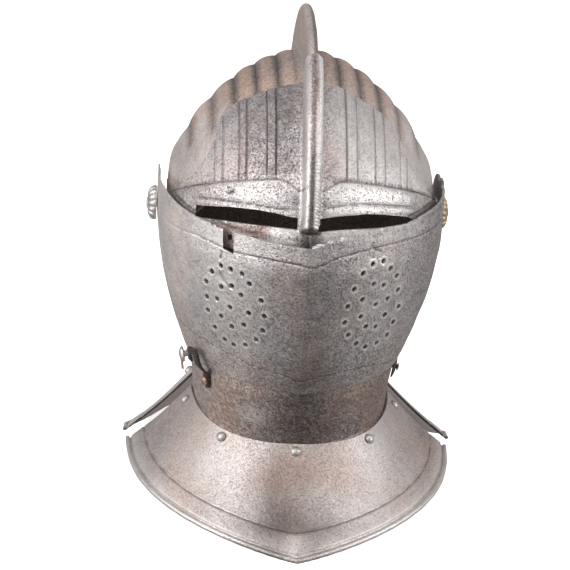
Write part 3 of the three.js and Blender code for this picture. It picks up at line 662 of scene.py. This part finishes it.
def build_ventail():
    g = shares(1.14, 2.9, .018, spaced((.27, .7, .0105)))
    g = np.unique(np.concatenate([g, [0.0, .002, .006, .012]]))
    g = g[np.concatenate([[True], np.diff(g) > .0015])]
    zs = spaced((-103, -99, 1.5), (-99, -72, .85), (-72, -4, 1.15), (-4, 16, .7), (16, 31, 2.0))
    P = level_grid(VENTAIL, zs, g, spaced((3, 30, 3.0)))
    x, y, z = P[..., 0], P[..., 1], P[..., 2]
    up, low = ventail_marks(P)
    d = hole_distance(x, z)
    outside = step(-y, 60, 75)
    rims = .5 * groove(d - 3.1, 1.3) * outside - .5 * groove(d, 2.6) * outside
    keel = -.5 * hump(x, 0, 1.6)
    dent = -.9 * bump_at(x, z, 47, 8, 9, 7) - bump_at(x, z, -60, -11, 8, 6)
    cracks = scratches(x, z, VENTAIL_CRACKS, .9) * (y < -60)
    patch = step(4.2 - np.hypot(x + 61.6, (z + 10.9) * 1.3), 0, 1.2)
    lift = -.7 * up - .7 * low + rims + keel + dent * .7 - .9 * cracks + .5 * patch
    lift += .3 * wobble(P, 38, 11) + .16 * wobble(P, 12, 12)
    ventail = make("ventail_plate", [shell(P, lift, SHEET, (0, -60, -40))])
    trim(ventail, VENTAIL_SIDE)
    for side in (1, -1):
        above = ragged(VENTAIL_TOP[side], 40 + side) + [(-27, 60), (-170, 60)]
        low, high = sorted((side * SIDE_CUT, -.02 * side))
        cut(ventail, prism(above, "x", low, high), "DIFFERENCE")
    pierce(ventail, PEG_NOTCH)
    drills = []
    rng = np.random.RandomState(5)
    for hx, hz in HOLES:
        s = abs(hx) / float(curve(VENTAIL["A"], hz))
        p, q = float(curve(VENTAIL["p"], hz)), float(curve(VENTAIL["q"], hz))
        y = -float(curve(VENTAIL["F"], hz)) * (1 - s**p) ** (1 / q)
        sign = 1 if hx > 0 else -1
        r = 1.85 + .35 * rng.rand()
        drills.append(turned([(0, -6), (r, -6), (r, 6), (0, 6)], 18, (hx, y, hz), (sign * .62, -.73, -.22)))
    cut(ventail, make("drills", drills), "DIFFERENCE")
    return ventail


def build_bevor():
    g = shares(1.3, 2.7, .026)
    g = np.unique(np.concatenate([g, [0.0, .004, .01]]))
    zs = spaced((-151, -80, 1.3), (-80, 24, 3.2))
    P = level_grid(BEVOR, zs, g, spaced((3, 26, 3.0)))
    lift = .4 * wobble(P, 34, 13) + .15 * wobble(P, 12, 14)
    bevor = make("bevor_plate", [shell(P, lift, SHEET, (0, -50, -110))])
    trim(bevor, BEVOR_SIDE)
    flange = gorget_sheet(FRONT, 120, np.array([-.04, .05, .17]), -SHEET - GAP, SHEET, False)
    return join(bevor, make("flange", [flange]))


# neck plates: superellipses of the upper edge and the rim, each with its height
FRONT = {
    "top": (NECK_A + 1.7, NECK_F + 1.7, 2.4, 2.4, -14, 0, lambda y: -139 + 5.5 * (y + 14) / 93.5),
    "rim": (121.5, 181, 1.1, 2.6, -18, 0, lambda y: -181.5 + 19.5 * (y + 16) / 165),
    "sign": -1,
}
REAR = {
    "top": (72.6, 77.8, 1.9, 2.2, 4, 0, lambda y: -135 - 1.5 * (y / 77)),
    "rim": (124, 149, 2.0, 2.1, -11, 16,
            lambda y: np.maximum(-201, -178 - 23 * np.sin(np.clip(np.maximum(0, y) / 88, 0, 1) * math.pi / 2))),
    "sign": 1,
}


def rim_points(edge, sign, u):
    A, F, p, q, end, back, height = edge
    reach = F + back
    last = math.acos(((sign * end + back) / reach) ** (q / 2))
    beta = u * last
    x = A * np.abs(np.sin(beta)) ** (2 / p) * np.sign(u)
    y = sign * (reach * np.cos(beta) ** (2 / q) - back)
    return np.stack([x, y, height(y)], -1)


def gorget_grid(plate, u, t):
    a = rim_points(plate["top"], plate["sign"], u)
    b = rim_points(plate["rim"], plate["sign"], u)
    P = a[None] * (1 - t[:, None, None]) + b[None] * t[:, None, None]
    P[..., 2] -= 2.2 * np.sin(np.pi * np.clip(t, 0, 1))[:, None]
    return P


def around(plate, cols):
    """Shares from end to end of a neck plate, closer together at the keel of the front one."""
    u = np.linspace(-1, 1, cols + 1)
    return np.sign(u) * np.abs(u) ** 1.25 if plate["sign"] < 0 else u


def gorget_sheet(plate, cols, t, offset, thick, detail):
    P = gorget_grid(plate, around(plate, cols), t)
    n = grid_normals(P)
    if n[len(t) // 2, cols // 2, 2] < 0:
        n = -n
    P = P + n * offset
    lift = np.zeros(P.shape[:2])
    if detail:
        tt = np.repeat(t[:, None], cols + 1, 1)
        lift -= .6 * groove(tt - LINE_SHARE, .014)
        lift += .25 * step(tt, .75, .78) * (1 - step(tt, .93, .96))
        lift -= .9 * step(tt, .93, .955)
        lift += .35 * wobble(P, 40, 21) + .1 * wobble(P, 12, 22)
    verts, faces = shell(P, lift, thick, (0, 0, -400))
    verts[:, 2] = np.maximum(verts[:, 2], BASE_Z)
    return verts, faces


def build_gorget(name, plate):
    t = spaced((0, .1, .02), (.1, .7, .03), (.7, .8, .006), (.8, .92, .02), (.92, 1, .008))
    cols = 210
    sheet_part = gorget_sheet(plate, cols, t, 0, SHEET, True)
    u = around(plate, cols)
    edge = gorget_grid(plate, u, np.array([1.0]))[0]
    tangent = np.gradient(edge, axis=0)
    tangent /= np.linalg.norm(tangent, axis=1, keepdims=True)
    out = np.cross(tangent, (0, 0, 1))
    out /= np.linalg.norm(out, axis=1, keepdims=True)
    up = np.cross(out, tangent)
    angles = np.linspace(0, 2 * math.pi, 16, endpoint=False)
    slimmer = .5 if plate is REAR else .25
    loops = []
    for k in range(len(edge)):
        r = 2.1 * (1 + .04 * math.sin(k * .9)) * (1 - slimmer * float(step(abs(u[k]), .8, .98)))
        loop = edge[k] + r * np.cos(angles)[:, None] * out[k] + r * np.sin(angles)[:, None] * up[k]
        loop[:, 2] = np.maximum(loop[:, 2], BASE_Z)
        loops.append(loop)
    return make(name, [sheet_part, tube(loops)])


def ridged_head(r, h, a):
    """Radial gadroons on a pivot head."""
    if r < 3 or r > 13:
        return r, h
    lobe = abs(math.sin(a * 7))
    fade = min(1.0, (r - 3) / 5)
    return r * (1 - .05 * fade * (1 - lobe ** .6)), h - .9 * fade * (1 - lobe ** .6)


def build_pivot(name, side):
    seat = EAR + GAP
    shank = [(0, -6), (4.6, -5.6), (5.2, -4), (5.2, -2.9), (3.0, -2.9)]
    head = [(3.0, 0), (12.2, 0), (12.8, .8), (12.9, 1.8), (12.6, 3.0), (11.8, 4.3), (10.4, 5.5), (8.6, 6.3),
            (6.6, 6.7), (5.0, 6.5), (4.4, 6.3), (4.0, 7.0), (2.8, 7.5), (1.2, 7.6), (0, 7.6)]
    profile = [(r, SKULL_EAR + h) for r, h in shank] + [(r, seat + h) for r, h in head]

    def wave(r, h, a):
        return ridged_head(r, h, a) if h > seat + .3 else (r, h)
    return make(name, [turned(profile, 112, (0, 0, 0), (side, 0, 0), wave)])


# materials
def node(tree, kind, **values):
    n = tree.nodes.new(kind)
    for key, value in values.items():
        setattr(n, key, value)
    return n


def feed(tree, value, socket):
    """Links an output to a socket, or sets the socket's own colour or number."""
    if isinstance(value, bpy.types.NodeSocket):
        tree.links.new(value, socket)
    elif isinstance(value, tuple):
        socket.default_value = (*value, 1)
    else:
        socket.default_value = value


def ramp(tree, source, stops):
    """Grey ramp through (place, brightness)."""
    r = node(tree, "ShaderNodeValToRGB")
    while len(r.color_ramp.elements) < len(stops):
        r.color_ramp.elements.new(0.5)
    for e, (place, value) in zip(r.color_ramp.elements, stops):
        e.position = place
        e.color = (value, value, value, 1)
    feed(tree, source, r.inputs[0])
    return r.outputs[0]


def mix(tree, factor, a, b):
    m = node(tree, "ShaderNodeMix", data_type="RGBA")
    feed(tree, factor, m.inputs[0])
    feed(tree, a, m.inputs[6])
    feed(tree, b, m.inputs[7])
    return m.outputs[2]


def maths(tree, op, a, b, clamp=False):
    m = node(tree, "ShaderNodeMath", operation=op, use_clamp=clamp)
    feed(tree, a, m.inputs[0])
    feed(tree, b, m.inputs[1])
    return m.outputs[0]


def noise_tex(tree, coord, scale, detail, rough, seed):
    m = node(tree, "ShaderNodeMapping")
    feed(tree, coord, m.inputs[0])
    m.inputs["Location"].default_value = (seed, seed * .7, -seed)
    n = node(tree, "ShaderNodeTexNoise")
    n.inputs["Scale"].default_value = scale
    n.inputs["Detail"].default_value = detail
    n.inputs["Roughness"].default_value = rough
    feed(tree, m.outputs[0], n.inputs["Vector"])
    return n.outputs["Fac"]


def shade(colour, factor):
    return tuple(c * factor for c in colour)


ROUGH, SMOOTH = .58, .34
METALNESS = .85
GRAIN_DEPTH = .0005


def old_steel(name, dark, light, brown, rust_share, pit, grain, bright, seed):
    """Old plate: fine grey grain, brown stain, pits and specks, changed from place to place by a vertex
    attribute that also carries painted shade and painted highlights.
    """
    mat = bpy.data.materials.new(name)
    mat.use_nodes = True
    tree = mat.node_tree
    tree.nodes.clear()
    out = node(tree, "ShaderNodeOutputMaterial")
    shader = node(tree, "ShaderNodeBsdfPrincipled")
    feed(tree, shader.outputs[0], out.inputs[0])
    coord = node(tree, "ShaderNodeTexCoord").outputs["Object"]
    wear_and_light = node(tree, "ShaderNodeAttribute", attribute_name="wear_and_light")
    split = node(tree, "ShaderNodeSeparateColor")
    feed(tree, wear_and_light.outputs["Color"], split.inputs[0])
    grooved, rubbed_and_highlit, stained = split.outputs[0], split.outputs[1], split.outputs[2]
    tone = wear_and_light.outputs["Alpha"]
    large = noise_tex(tree, coord, 26, 3, .5, seed + 1)
    medium = noise_tex(tree, coord, 130, 5, .66, seed + 2)
    fine = noise_tex(tree, coord, 640, 4, .75, seed + 3)
    pits = noise_tex(tree, coord, 820, 2, .6, seed + 5)
    speck = noise_tex(tree, coord, 330, 3, .75, seed + 4)
    base = mix(tree, ramp(tree, medium, [(.30, .22), (.70, .78)]), dark, light)
    base = mix(tree, ramp(tree, fine, [(.36, .75 * grain), (.52, 0)]), base, shade(dark, .5))
    base = mix(tree, ramp(tree, fine, [(.50, 0), (.66, .6 * grain)]), base, bright)
    patch = maths(tree, "ADD", ramp(tree, large, [(.42, 0), (.72, rust_share)]),
                  maths(tree, "MULTIPLY", stained, ramp(tree, medium, [(.25, .4), (.7, 1)])), True)
    rust = mix(tree, ramp(tree, fine, [(.35, 0), (.62, 1)]), shade(brown, .72), shade(brown, 1.22))
    base = mix(tree, patch, base, rust)
    spots = ramp(tree, speck, [(.60, 0), (.67, .7 * grain)])
    base = mix(tree, spots, base, (brown[0] * .72, brown[1] * .5, brown[2] * .44))
    # lightened where rubbed and where highlights are painted
    worn = maths(tree, "MULTIPLY", rubbed_and_highlit, ramp(tree, medium, [(.28, .5), (.58, 1)]))
    base = mix(tree, worn, base, bright)
    base = mix(tree, ramp(tree, pits, [(.34, .85 * grain), (.44, 0)]), base, shade(dark, .3))
    # the tone darkens and lightens: patina, and also painted shade and painted light
    darker = maths(tree, "MULTIPLY", maths(tree, "SUBTRACT", .5, tone, True), 1.9, True)
    lighter = maths(tree, "MULTIPLY", maths(tree, "SUBTRACT", tone, .5, True), 1.7, True)
    base = mix(tree, darker, base, shade(dark, .12))
    base = mix(tree, lighter, base, bright)
    base = mix(tree, maths(tree, "MULTIPLY", grooved, .93), base, shade(dark, .16))
    feed(tree, base, shader.inputs["Base Color"])
    shine = maths(tree, "SUBTRACT", 1.0, maths(tree, "MULTIPLY", patch, .4), True)
    feed(tree, maths(tree, "MULTIPLY", shine, METALNESS), shader.inputs["Metallic"])
    roughness = ramp(tree, fine, [(.30, ROUGH), (.70, SMOOTH)])
    roughness = mix(tree, patch, roughness, (.62, .62, .62))
    roughness = mix(tree, rubbed_and_highlit, roughness, (.32, .32, .32))
    feed(tree, roughness, shader.inputs["Roughness"])
    height = maths(tree, "ADD", maths(tree, "MULTIPLY", ramp(tree, pits, [(.34, 0), (.48, 1)]), .5),
                   maths(tree, "MULTIPLY", fine, .9))
    height = maths(tree, "ADD", height, maths(tree, "MULTIPLY", medium, 1.1))
    bump = node(tree, "ShaderNodeBump")
    bump.inputs["Strength"].default_value = pit
    bump.inputs["Distance"].default_value = GRAIN_DEPTH
    feed(tree, height, bump.inputs["Height"])
    feed(tree, bump.outputs[0], shader.inputs["Normal"])
    return mat


def paint(obj, fn):
    """Stores the vertex attribute of grooved, rubbed and stained places, tone, and painted light and shade from
    each vertex's place about the ear axis.
    """
    mesh = obj.data
    co = np.zeros(len(mesh.vertices) * 3)
    mesh.vertices.foreach_get("co", co)
    P = co.reshape(-1, 3) / MM - EAR_AXIS
    colour = np.full((len(P), 4), .5)
    colour[:, :3] = 0
    for k, values in enumerate(fn(P) if fn else ()):
        colour[:, k] = np.clip(values, 0, 1)
    layer = mesh.color_attributes.new("wear_and_light", "FLOAT_COLOR", "POINT")
    layer.data.foreach_set("color", colour.ravel())


PALE = (.80, .79, .78)
# by slot: name, dark, light and brown tone, share of rust, depth of pits, strength of grain, tone where rubbed
# and where highlights are painted
STEELS = {
    "skull_steel": ("skull_old_steel", (.34, .30, .285), (.66, .61, .59), (.50, .36, .30), .5, .5, .8, PALE),
    "visor_steel": ("visor_old_steel", (.31, .295, .305), (.76, .73, .745), (.44, .31, .27), .2, .8, 1.0, PALE),
    "ventail_steel": ("ventail_old_steel", (.31, .295, .30), (.74, .71, .73), (.42, .32, .28),
                      .35, .75, 1.0, PALE),
    "bevor_steel": ("bevor_old_steel", (.19, .17, .165), (.44, .40, .385), (.32, .235, .20), .6, .7, 1.0, PALE),
    "gorget_steel": ("gorget_old_steel", (.44, .40, .39), (.64, .60, .59), (.46, .33, .275),
                     .3, .45, .65, PALE),
    "bright_steel": ("rivet_steel", (.40, .39, .39), (.75, .74, .73), (.5, .4, .35), .2, .3, .5, PALE),
    "brass": ("dull_brass", (.34, .26, .17), (.70, .57, .40), (.38, .28, .18), .4, .3, .5, (.84, .74, .58)),
    "dark_iron": ("dark_iron", (.06, .05, .05), (.17, .15, .14), (.16, .10, .08), .4, .4, .5, (.5, .47, .45)),
    "rusty_iron": ("rusty_iron", (.26, .17, .14), (.52, .38, .31), (.45, .22, .14), .8, .5, .5, PALE),
}
MATERIALS = {slot: old_steel(*row, seed=k + 1.0) for k, (slot, row) in enumerate(STEELS.items())}
SHARP_ANGLE = 38 * DEG


def finish(obj, body, slot, nodes_, wear_and_light=None):
    mesh = obj.data
    mesh.materials.clear()
    mesh.materials.append(MATERIALS[slot])
    mesh.shade_smooth()
    mesh.set_sharp_from_angle(angle=SHARP_ANGLE)
    paint(obj, wear_and_light)
    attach(obj, body)
    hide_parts(*nodes_)


# worn places and painted light of each plate: grooved, rubbed together with painted highlights, stained and
# tone, where .5 leaves the tone as it is; the tone holds patina and also painted shade and light
def polar_angle(P):
    return np.degrees(np.arctan2(P[:, 2], -P[:, 1]))


def skull_wear_and_shade(P):
    phi = polar_angle(P)
    x = np.abs(P[:, 0])
    wave = flute_wave(x)
    on = step(phi, 50, 60) * (1 - step(phi, 168, 185)) * (1 - step(x, 82, 90)) * (x > 8)
    radius = np.hypot(P[:, 1], P[:, 2])
    crest = step(radius, 146, 150.5) * (x < 5)
    # painted shade in the valleys between the flutes
    valley_shade = on * np.clip((.8 - wave) / .8, 0, 1)
    # painted shadow: a dark line on the skull along the ventail's upper edge
    edge = groove(P[:, 2] - ventail_top(P[:, 0], P[:, 1]) - .5, 2.0) * (P[:, 1] < 10) * (x > 80)
    comb = (radius > 126) * (x < 7)
    shaded = comb * step(P[:, 0], .2, 1.4)
    tone = .5 - .32 * valley_shade - .10 * on * step(phi, 62, 80)
    # the backs of the flutes are painted lighter as lit, and the comb's half on the wearer's left painted
    # darker as shade
    tone += .05 * on * step(wave, .5, 1) - .4 * edge - .24 * shaded
    tone += .2 * step(P[:, 2], 0, 30) * step(x, 50, 72) + .06 * (P[:, 0] > 20)
    tone += .07 * speckle(P) * (x > 8)
    brown = .22 + .5 * on * step(wave, .45, .9) + .2 * wobble(P, 30, 31) + .2 * comb + .4 * shaded
    # the first channel is a thin painted shade line along the floors of the valleys
    return groove(wave, .1) * on * .25, crest * .4 * (1 - shaded), brown, tone


def visor_wear_and_light(P):
    phi = polar_angle(P)
    x, z = P[:, 0], P[:, 2]
    radius = np.hypot(P[:, 1], z)
    plate = radius < 146
    side = np.where(x < 0, -1, 1)
    dark = np.zeros(len(P))
    for s in (-1, 1):
        for a, b in RIBS[s]:
            lines = groove(np.abs(x) - a, 1.1) + groove(np.abs(x) - b, 1.1)
            dark += (side == s) * (phi > 25.5) * lines * .7
    wide = brow_extent(x)
    dark += groove(phi - visor_arch(x), .6) * (radius < 150) * .8
    dark += groove(phi - visor_second(x), .4) * wide * .6
    dark += scratches(x, z, BROW_CRACKS, .9)
    band = step(phi, 12, 14) * (1 - step(phi, visor_arch(x) - 1, visor_arch(x))) * plate
    brow_highlights = bump_at(x, phi, -42, 21, 22, 9) + bump_at(x, phi, 38, 21, 26, 9)
    strip = (phi < 10.8) * (phi > -9) * (radius < 142)
    rusty = strip * step(-x, 24, 34) * (1 - step(-x, 70, 84))
    upper = (phi > 26.5) * plate * (np.abs(x) > 6)
    tone = .5 - .24 * upper * bump_at(x, phi, -16, 44, 12, 30) - .12 * upper * bump_at(x, phi, -34, 44, 14, 30)
    tone += .10 * upper * step(-x, 46, 60) + .26 * upper * step(x, 6, 24) + .04 * band * wide
    tone += .30 * strip * (1 - step(-x, 22, 34)) * step(np.abs(x), 4, 12) - .12 * rusty
    # folded comb: painted highlights on the folds at both sides of its ridge, which is darker along its top,
    # the fold on the wearer's left hatched, and the flank on the wearer's right painted lighter as lit
    u = (x - comb_lean(phi)) / 5.6
    edge = .16 + .22 * step(phi, 28, 50)
    crown = (radius > 143.5) & (phi > 11)
    flank = (radius > 130) & (phi > 11) & (np.abs(x) < 8)
    darker_ridge_top = step(u, -.42, -.3) * (1 - step(u, edge - .1, edge))
    tone += flank * ~crown * (.20 * (x < 0) + .02)
    tone += crown * (.36 * step(u, edge - .05, edge + .1) + .24 * (1 - step(u, -.55, -.42)) - .30 * darker_ridge_top)
    tone -= .20 * crown * step(u, .3, .45) * step(-rope_wave(phi * DEG * VISOR_COMB_R, x), .25, .9)
    dark += crown * hump(u, -.12, .22) * (1 - step(phi, 24, 32)) * .85
    # painted shadow: a dark line along the ventail's upper edge
    tone -= .42 * groove(z - ventail_top(x, P[:, 1]) + .2, 1.7) * (np.abs(x) > 8)
    # painted shade at the lower middle, by the keel
    tone -= .40 * bump_at(x, phi, -2, 6, 9, 5) * (radius < 143)
    tone += .09 * speckle(P) * (1 - .7 * band * wide) + .04 * wobble(P, 9, 54) * (phi > 11)
    # painted highlights on the brow band, strongest at two spots and on the wearer's left, and on the comb's
    # folds, given through the rubbed channel
    bright = band * wide * np.clip(-.3 + .75 * brow_highlights + .75 * (x > 0), 0, 1)
    bright += crown * (u > edge) * .6 + crown * (u < -.4) * .45
    stain = .1 + .2 * wobble(P, 26, 33) + rusty + .5 * crown * (np.abs(u) < .4)
    stain += .6 * bump_at(x, phi, 15, 34, 9, 7) * (x > 6) + .8 * bump_at(x, z, -55, 13, 7, 9)
    return dark, bright, stain * (1 - .8 * band * wide), tone


def ventail_wear_and_light(P):
    up, low = ventail_marks(P)
    x, y, z = P[:, 0], P[:, 1], P[:, 2]
    d = hole_distance(x, z)
    rims = groove(d - 2.9, 1.5) * (y < -60)
    low_zone = step(-z, 62, 84)
    cheek = hump(np.abs(x), 50, 24)
    over_line = step(z, ventail_line_up(x), ventail_line_up(x) + 4) * (np.abs(x) < 80)
    stain = .12 + .5 * step(-x, 62, 90) * (1 - .3 * step(z, -20, 0)) + .35 * hump(x, 0, 13) * step(-z, 20, 60)
    stain += .35 * low_zone * step(-x, 10, 50) + .22 * wobble(P, 24, 35)
    tone = .5 - .13 * hump(x, 4, 26) + .10 * hump(np.abs(x), 55, 16) * step(z, -64, -40)
    # painted light: lighter towards the wearer's right, where the light falls, and darker at the edge on the
    # wearer's left
    tone += .10 * step(-x, 22, 44) + .04 * step(-x, 60, 84) - .05 * hump(x, 6, 22) - .12 * step(x, 72, 96)
    tone += .10 * over_line - .10 * low_zone * (1 - .5 * step(np.abs(x), 30, 60))
    tone += step(-y, 30, 70) * (.10 + .20 * cheek) * speckle(P) + (.03 + .04 * cheek) * wobble(P, 9, 56)
    # the middle term lightens the lower part on the wearer's right as painted light
    tone += .07 * cheek + .10 * step(-x, 30, 70) * step(z, -70, -30) + .42 * rims
    # painted highlight along the upper edge, which is also edge wear
    top = groove(z - ventail_top(x, y), 1.2) * .6
    dark = np.maximum(up * (1 - step(-x, 58, 76)), low) * .85
    dark += scratches(x, z, VENTAIL_CRACKS, 1.0) * (y < -60)
    return dark, rims * .95 + top, stain, tone


def bevor_wear_and_shade(P):
    x, y, z = P[:, 0], P[:, 1], P[:, 2]
    # painted shade: the middle of the chin is darker
    tone = .5 - .25 * hump(x, 6, 26) - .08 * step(x, 30, 70) + .1 * step(-x, 40, 70)
    tone += .14 * speckle(P) + .12 * bump_at(x, z, -29, -126, 12, 9)
    # painted shadow under the ventail's lower edge
    tone -= .4 * groove(z + 98, 4.0) * (y < -20)
    stain = .3 + .3 * wobble(P, 22, 37) + .3 * step(-x, 5, 30) + .2 * step(x, 20, 50)
    return 0 * x, .3 * bump_at(x, z, -29, -126, 10, 8), stain, tone


def gorget_wear_and_reflection(P):
    x, y = P[:, 0], P[:, 1]
    rear = y.max() > 40
    # the front rim's lighter tone and rubbed channel are a painted reflection of the pale floor as well as rim
    # wear
    rim = step(np.hypot(x / 121, y / 170), .93, .99)
    middle = bump_at(x, y, -5, -140, 22, 30)
    tone = .5 + .14 * hump(np.abs(x), 58, 24) - .24 * middle - .06 * step(x, 84, 110)
    tone -= .26 * step(-y, 136, 168) + .14 * step(-x, 0, 20) * step(-y, 100, 140)
    tone += .05 * speckle(P) + .03 * wobble(P, 11, 59) + .14 * rim * (y < 0)
    if rear:
        end = y - 4 + 15 * np.clip((np.abs(x) - 72.6) / 51.4, 0, 1)
        tone += .34 * (1 - step(y, 14, 50)) - .9 * groove(end, 3.4)
    stain = .1 + .3 * wobble(P, 26, 39) + .5 * middle + .35 * step(x, 84, 110)
    return 0 * x if rear else rim_line(P), .5 * rim * (y < 0), stain, tone


def rim_line(P):
    """The incised line that runs inside the rim of the front neck plate."""
    total = np.zeros(len(P))
    path = gorget_grid(FRONT, around(FRONT, 240), np.array([LINE_SHARE]))[0]
    batch = 4000
    for k in range(0, len(P), batch):
        part = P[k:k + batch, None]
        d = np.hypot(part[..., 0] - path[:, 0], part[..., 1] - path[:, 1]).min(axis=1)
        total[k:k + batch] = groove(d, 1.6)
    return total * .6


def stud_wear(P):
    """Rusty tongue under the bright head."""
    low = step(-P[:, 2], 108.5, 111)
    return 0 * low, .6 * (1 - low), low, .5 + 0 * low


def hook_highlight(P):
    """Painted highlight on the upper end of the right hook, the rest a little darker."""
    high = step(P[:, 2], -97, -91) * step(P[:, 1], -71, -66)
    return 0 * high, high, 0 * high, .42 + .4 * high


# rivets of the neck plates: each one's place as shares round the plate and down from its upper edge
RIVETS = {
    "front": (FRONT, {"centre": (0, .0625), "left_inner": (.505, .078), "right_inner": (-.475, .078),
                      "left_outer": (.94, .115), "right_outer": (-.93, .105)}),
    "rear": (REAR, {"centre": (0, .09), "left_inner": (.45, .09), "right_inner": (-.45, .09),
                    "left_outer": (.88, .09), "right_outer": (-.88, .09)}),
}
BURR_TOP = -(2 * SHEET + GAP + .25) - GAP
HEAD = [(1.5, 0), (3.6, 0), (3.7, .5), (3.5, 1.2), (3.0, 1.9), (2.2, 2.5), (1.2, 2.9), (0, 3.05)]
DOME = [(0, BURR_TOP - 1.4), (2.2, BURR_TOP - 1.2), (2.9, BURR_TOP), (1.5, BURR_TOP)]
DOME += [(r, GAP + h) for r, h in HEAD]


def gorget_frame(plate, u, t):
    """Place and upward direction on a neck plate."""
    e = .004
    near = gorget_grid(plate, np.array([u - e, u, u + e]), np.array([t - e, t, t + e]))
    n = np.cross(near[1, 2] - near[1, 0], near[2, 1] - near[0, 1])
    n /= np.linalg.norm(n)
    return near[1, 1], n if n[2] > 0 else -n


def softened(name):
    """Finely meshed copy of a small fitting with its edges worn round."""
    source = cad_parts[name]
    mesh = source.data.copy()
    mesh.transform(source.matrix_world)
    obj = bpy.data.objects.new(name + "_forged", mesh)
    bpy.context.scene.collection.objects.link(obj)
    fine = obj.modifiers.new("fine", "REMESH")
    fine.mode = "VOXEL"
    fine.voxel_size = .28 * MM
    soft = obj.modifiers.new("soft", "SMOOTH")
    soft.factor = .5
    soft.iterations = 3
    graph = bpy.context.evaluated_depsgraph_get()
    done = bpy.data.meshes.new_from_object(obj.evaluated_get(graph))
    obj.modifiers.clear()
    obj.data = done
    return obj


finish(build_skull(), "skull_body", "skull_steel", ["skull"], skull_wear_and_shade)
finish(build_visor(), "visor_body", "visor_steel", ["visor"], visor_wear_and_light)
finish(build_ventail(), "ventail_body", "ventail_steel", ["ventail"], ventail_wear_and_light)
finish(build_bevor(), "bevor_body", "bevor_steel", ["lower_bevor"], bevor_wear_and_shade)
finish(build_gorget("gorget_front_plate", FRONT), "bevor_body", "gorget_steel", ["gorget_front"], gorget_wear_and_reflection)
finish(build_gorget("gorget_rear_plate", REAR), "skull_body", "gorget_steel", ["gorget_rear"], gorget_wear_and_reflection)
finish(build_pivot("rosette_left", 1), "skull_body", "brass", ["pivot_left"])
finish(build_pivot("rosette_right", -1), "skull_body", "bright_steel", ["pivot_right"])
for group, (plate, spots) in RIVETS.items():
    for key, (u, t) in spots.items():
        centre, normal = gorget_frame(plate, u, t)
        rivet = make("dome_" + group + "_" + key, [turned(DOME, 32, centre, normal)])
        finish(rivet, "bevor_body" if group == "front" else "skull_body", "bright_steel",
               ["rivet_" + group + "_" + key])

FITTINGS = [
    ("hook_right", "hook_right_body", "dark_iron", hook_highlight),
    ("hook_left", "hook_left_body", "dark_iron", None),
    ("hook_rivet_left", "bevor_body", "dark_iron", None),
    ("hook_rivet_right", "bevor_body", "rusty_iron", None),
    ("side_stud", "bevor_body", "bright_steel", stud_wear),
    ("catch_right", "ventail_body", "bright_steel", None),
    ("catch_left", "ventail_body", "bright_steel", None),
]
for name, body, slot, wear_and_light in FITTINGS:
    finish(softened(name), body, slot, [name], wear_and_light)

# floor, light, camera
floor_mesh = bpy.data.meshes.new("floor")
floor_mesh.from_pydata([(-9, -9, 0), (9, -9, 0), (9, 9, 0), (-9, 9, 0)], [], [(0, 1, 2, 3)])
floor = bpy.data.objects.new("floor", floor_mesh)
bpy.context.scene.collection.objects.link(floor)
floor_mat = bpy.data.materials.new("pale_floor")
floor_mat.use_nodes = True
floor_bsdf = floor_mat.node_tree.nodes["Principled BSDF"]
floor_bsdf.inputs["Base Color"].default_value = (.97, .97, .97, 1)
floor_bsdf.inputs["Roughness"].default_value = 1
floor_bsdf.inputs["Emission Color"].default_value = (1, 1, 1, 1)
floor_bsdf.inputs["Emission Strength"].default_value = .8
floor.visible_diffuse = False
floor.visible_glossy = False
floor_mesh.materials.append(floor_mat)

# the studio's light is slightly warm, and its backdrop white
world = bpy.data.worlds.new("studio")
bpy.context.scene.world = world
world.use_nodes = True
studio = world.node_tree
lit = studio.nodes["Background"]
seen = node(studio, "ShaderNodeBackground")
ray = node(studio, "ShaderNodeLightPath")
choice = node(studio, "ShaderNodeMixShader")
for background, colour, strength in ((lit, (1, .972, .962), .36), (seen, (1, 1, 1), 1.0)):
    feed(studio, colour, background.inputs[0])
    feed(studio, strength, background.inputs[1])
feed(studio, ray.outputs["Is Camera Ray"], choice.inputs[0])
feed(studio, lit.outputs[0], choice.inputs[1])
feed(studio, seen.outputs[0], choice.inputs[2])
feed(studio, choice.outputs[0], studio.nodes["World Output"].inputs[0])

LIGHT_TARGET = Vector((0, 0, .2))
LIGHT_COLOUR = (1, .963, .945)


def area(name, place, size, power):
    light = bpy.data.lights.new(name, "AREA")
    light.shape = "DISK"
    light.size = size
    light.energy = power
    light.color = LIGHT_COLOUR
    obj = bpy.data.objects.new(name, light)
    bpy.context.scene.collection.objects.link(obj)
    obj.location = place
    obj.rotation_euler = (LIGHT_TARGET - Vector(place)).to_track_quat("-Z", "Y").to_euler()


area("left_box", (-1.5, -.75, .75), 1.4, 26)
area("right_box", (1.6, -.55, .7), 1.2, 15.5)
area("top_box", (-.1, -.75, 2.0), 1.5, 20)

# the camera stands at its distance from the target and is then turned to the point that it is aimed at
TARGET = Vector((0, -.024, .1824))
AZ, EL, ROLL = -4.2 * DEG, 18 * DEG, 3.2 * DEG
DISTANCE = 1.5
AIM_LEFT, AIM_DOWN = .0105, .0259
back = Vector((math.sin(AZ) * math.cos(EL), -math.cos(AZ) * math.cos(EL), math.sin(EL)))
right = Vector((math.cos(AZ), math.sin(AZ), 0))
up = back.cross(right)
right, up = right * math.cos(ROLL) + up * math.sin(ROLL), up * math.cos(ROLL) - right * math.sin(ROLL)
place = TARGET + back * DISTANCE
aim = TARGET - right * AIM_LEFT - up * AIM_DOWN
back = (place - aim).normalized()
right = (right - back * right.dot(back)).normalized()
up = back.cross(right)
camera = bpy.data.cameras.new("camera")
camera.lens = 130.04
camera.sensor_width = 36
camera_obj = bpy.data.objects.new("camera", camera)
camera_obj.matrix_world = Matrix(((right.x, up.x, back.x, place.x), (right.y, up.y, back.y, place.y),
                                  (right.z, up.z, back.z, place.z), (0, 0, 0, 1)))
bpy.context.scene.collection.objects.link(camera_obj)
bpy.context.scene.camera = camera_obj
bpy.context.scene.view_settings.view_transform = "Standard"
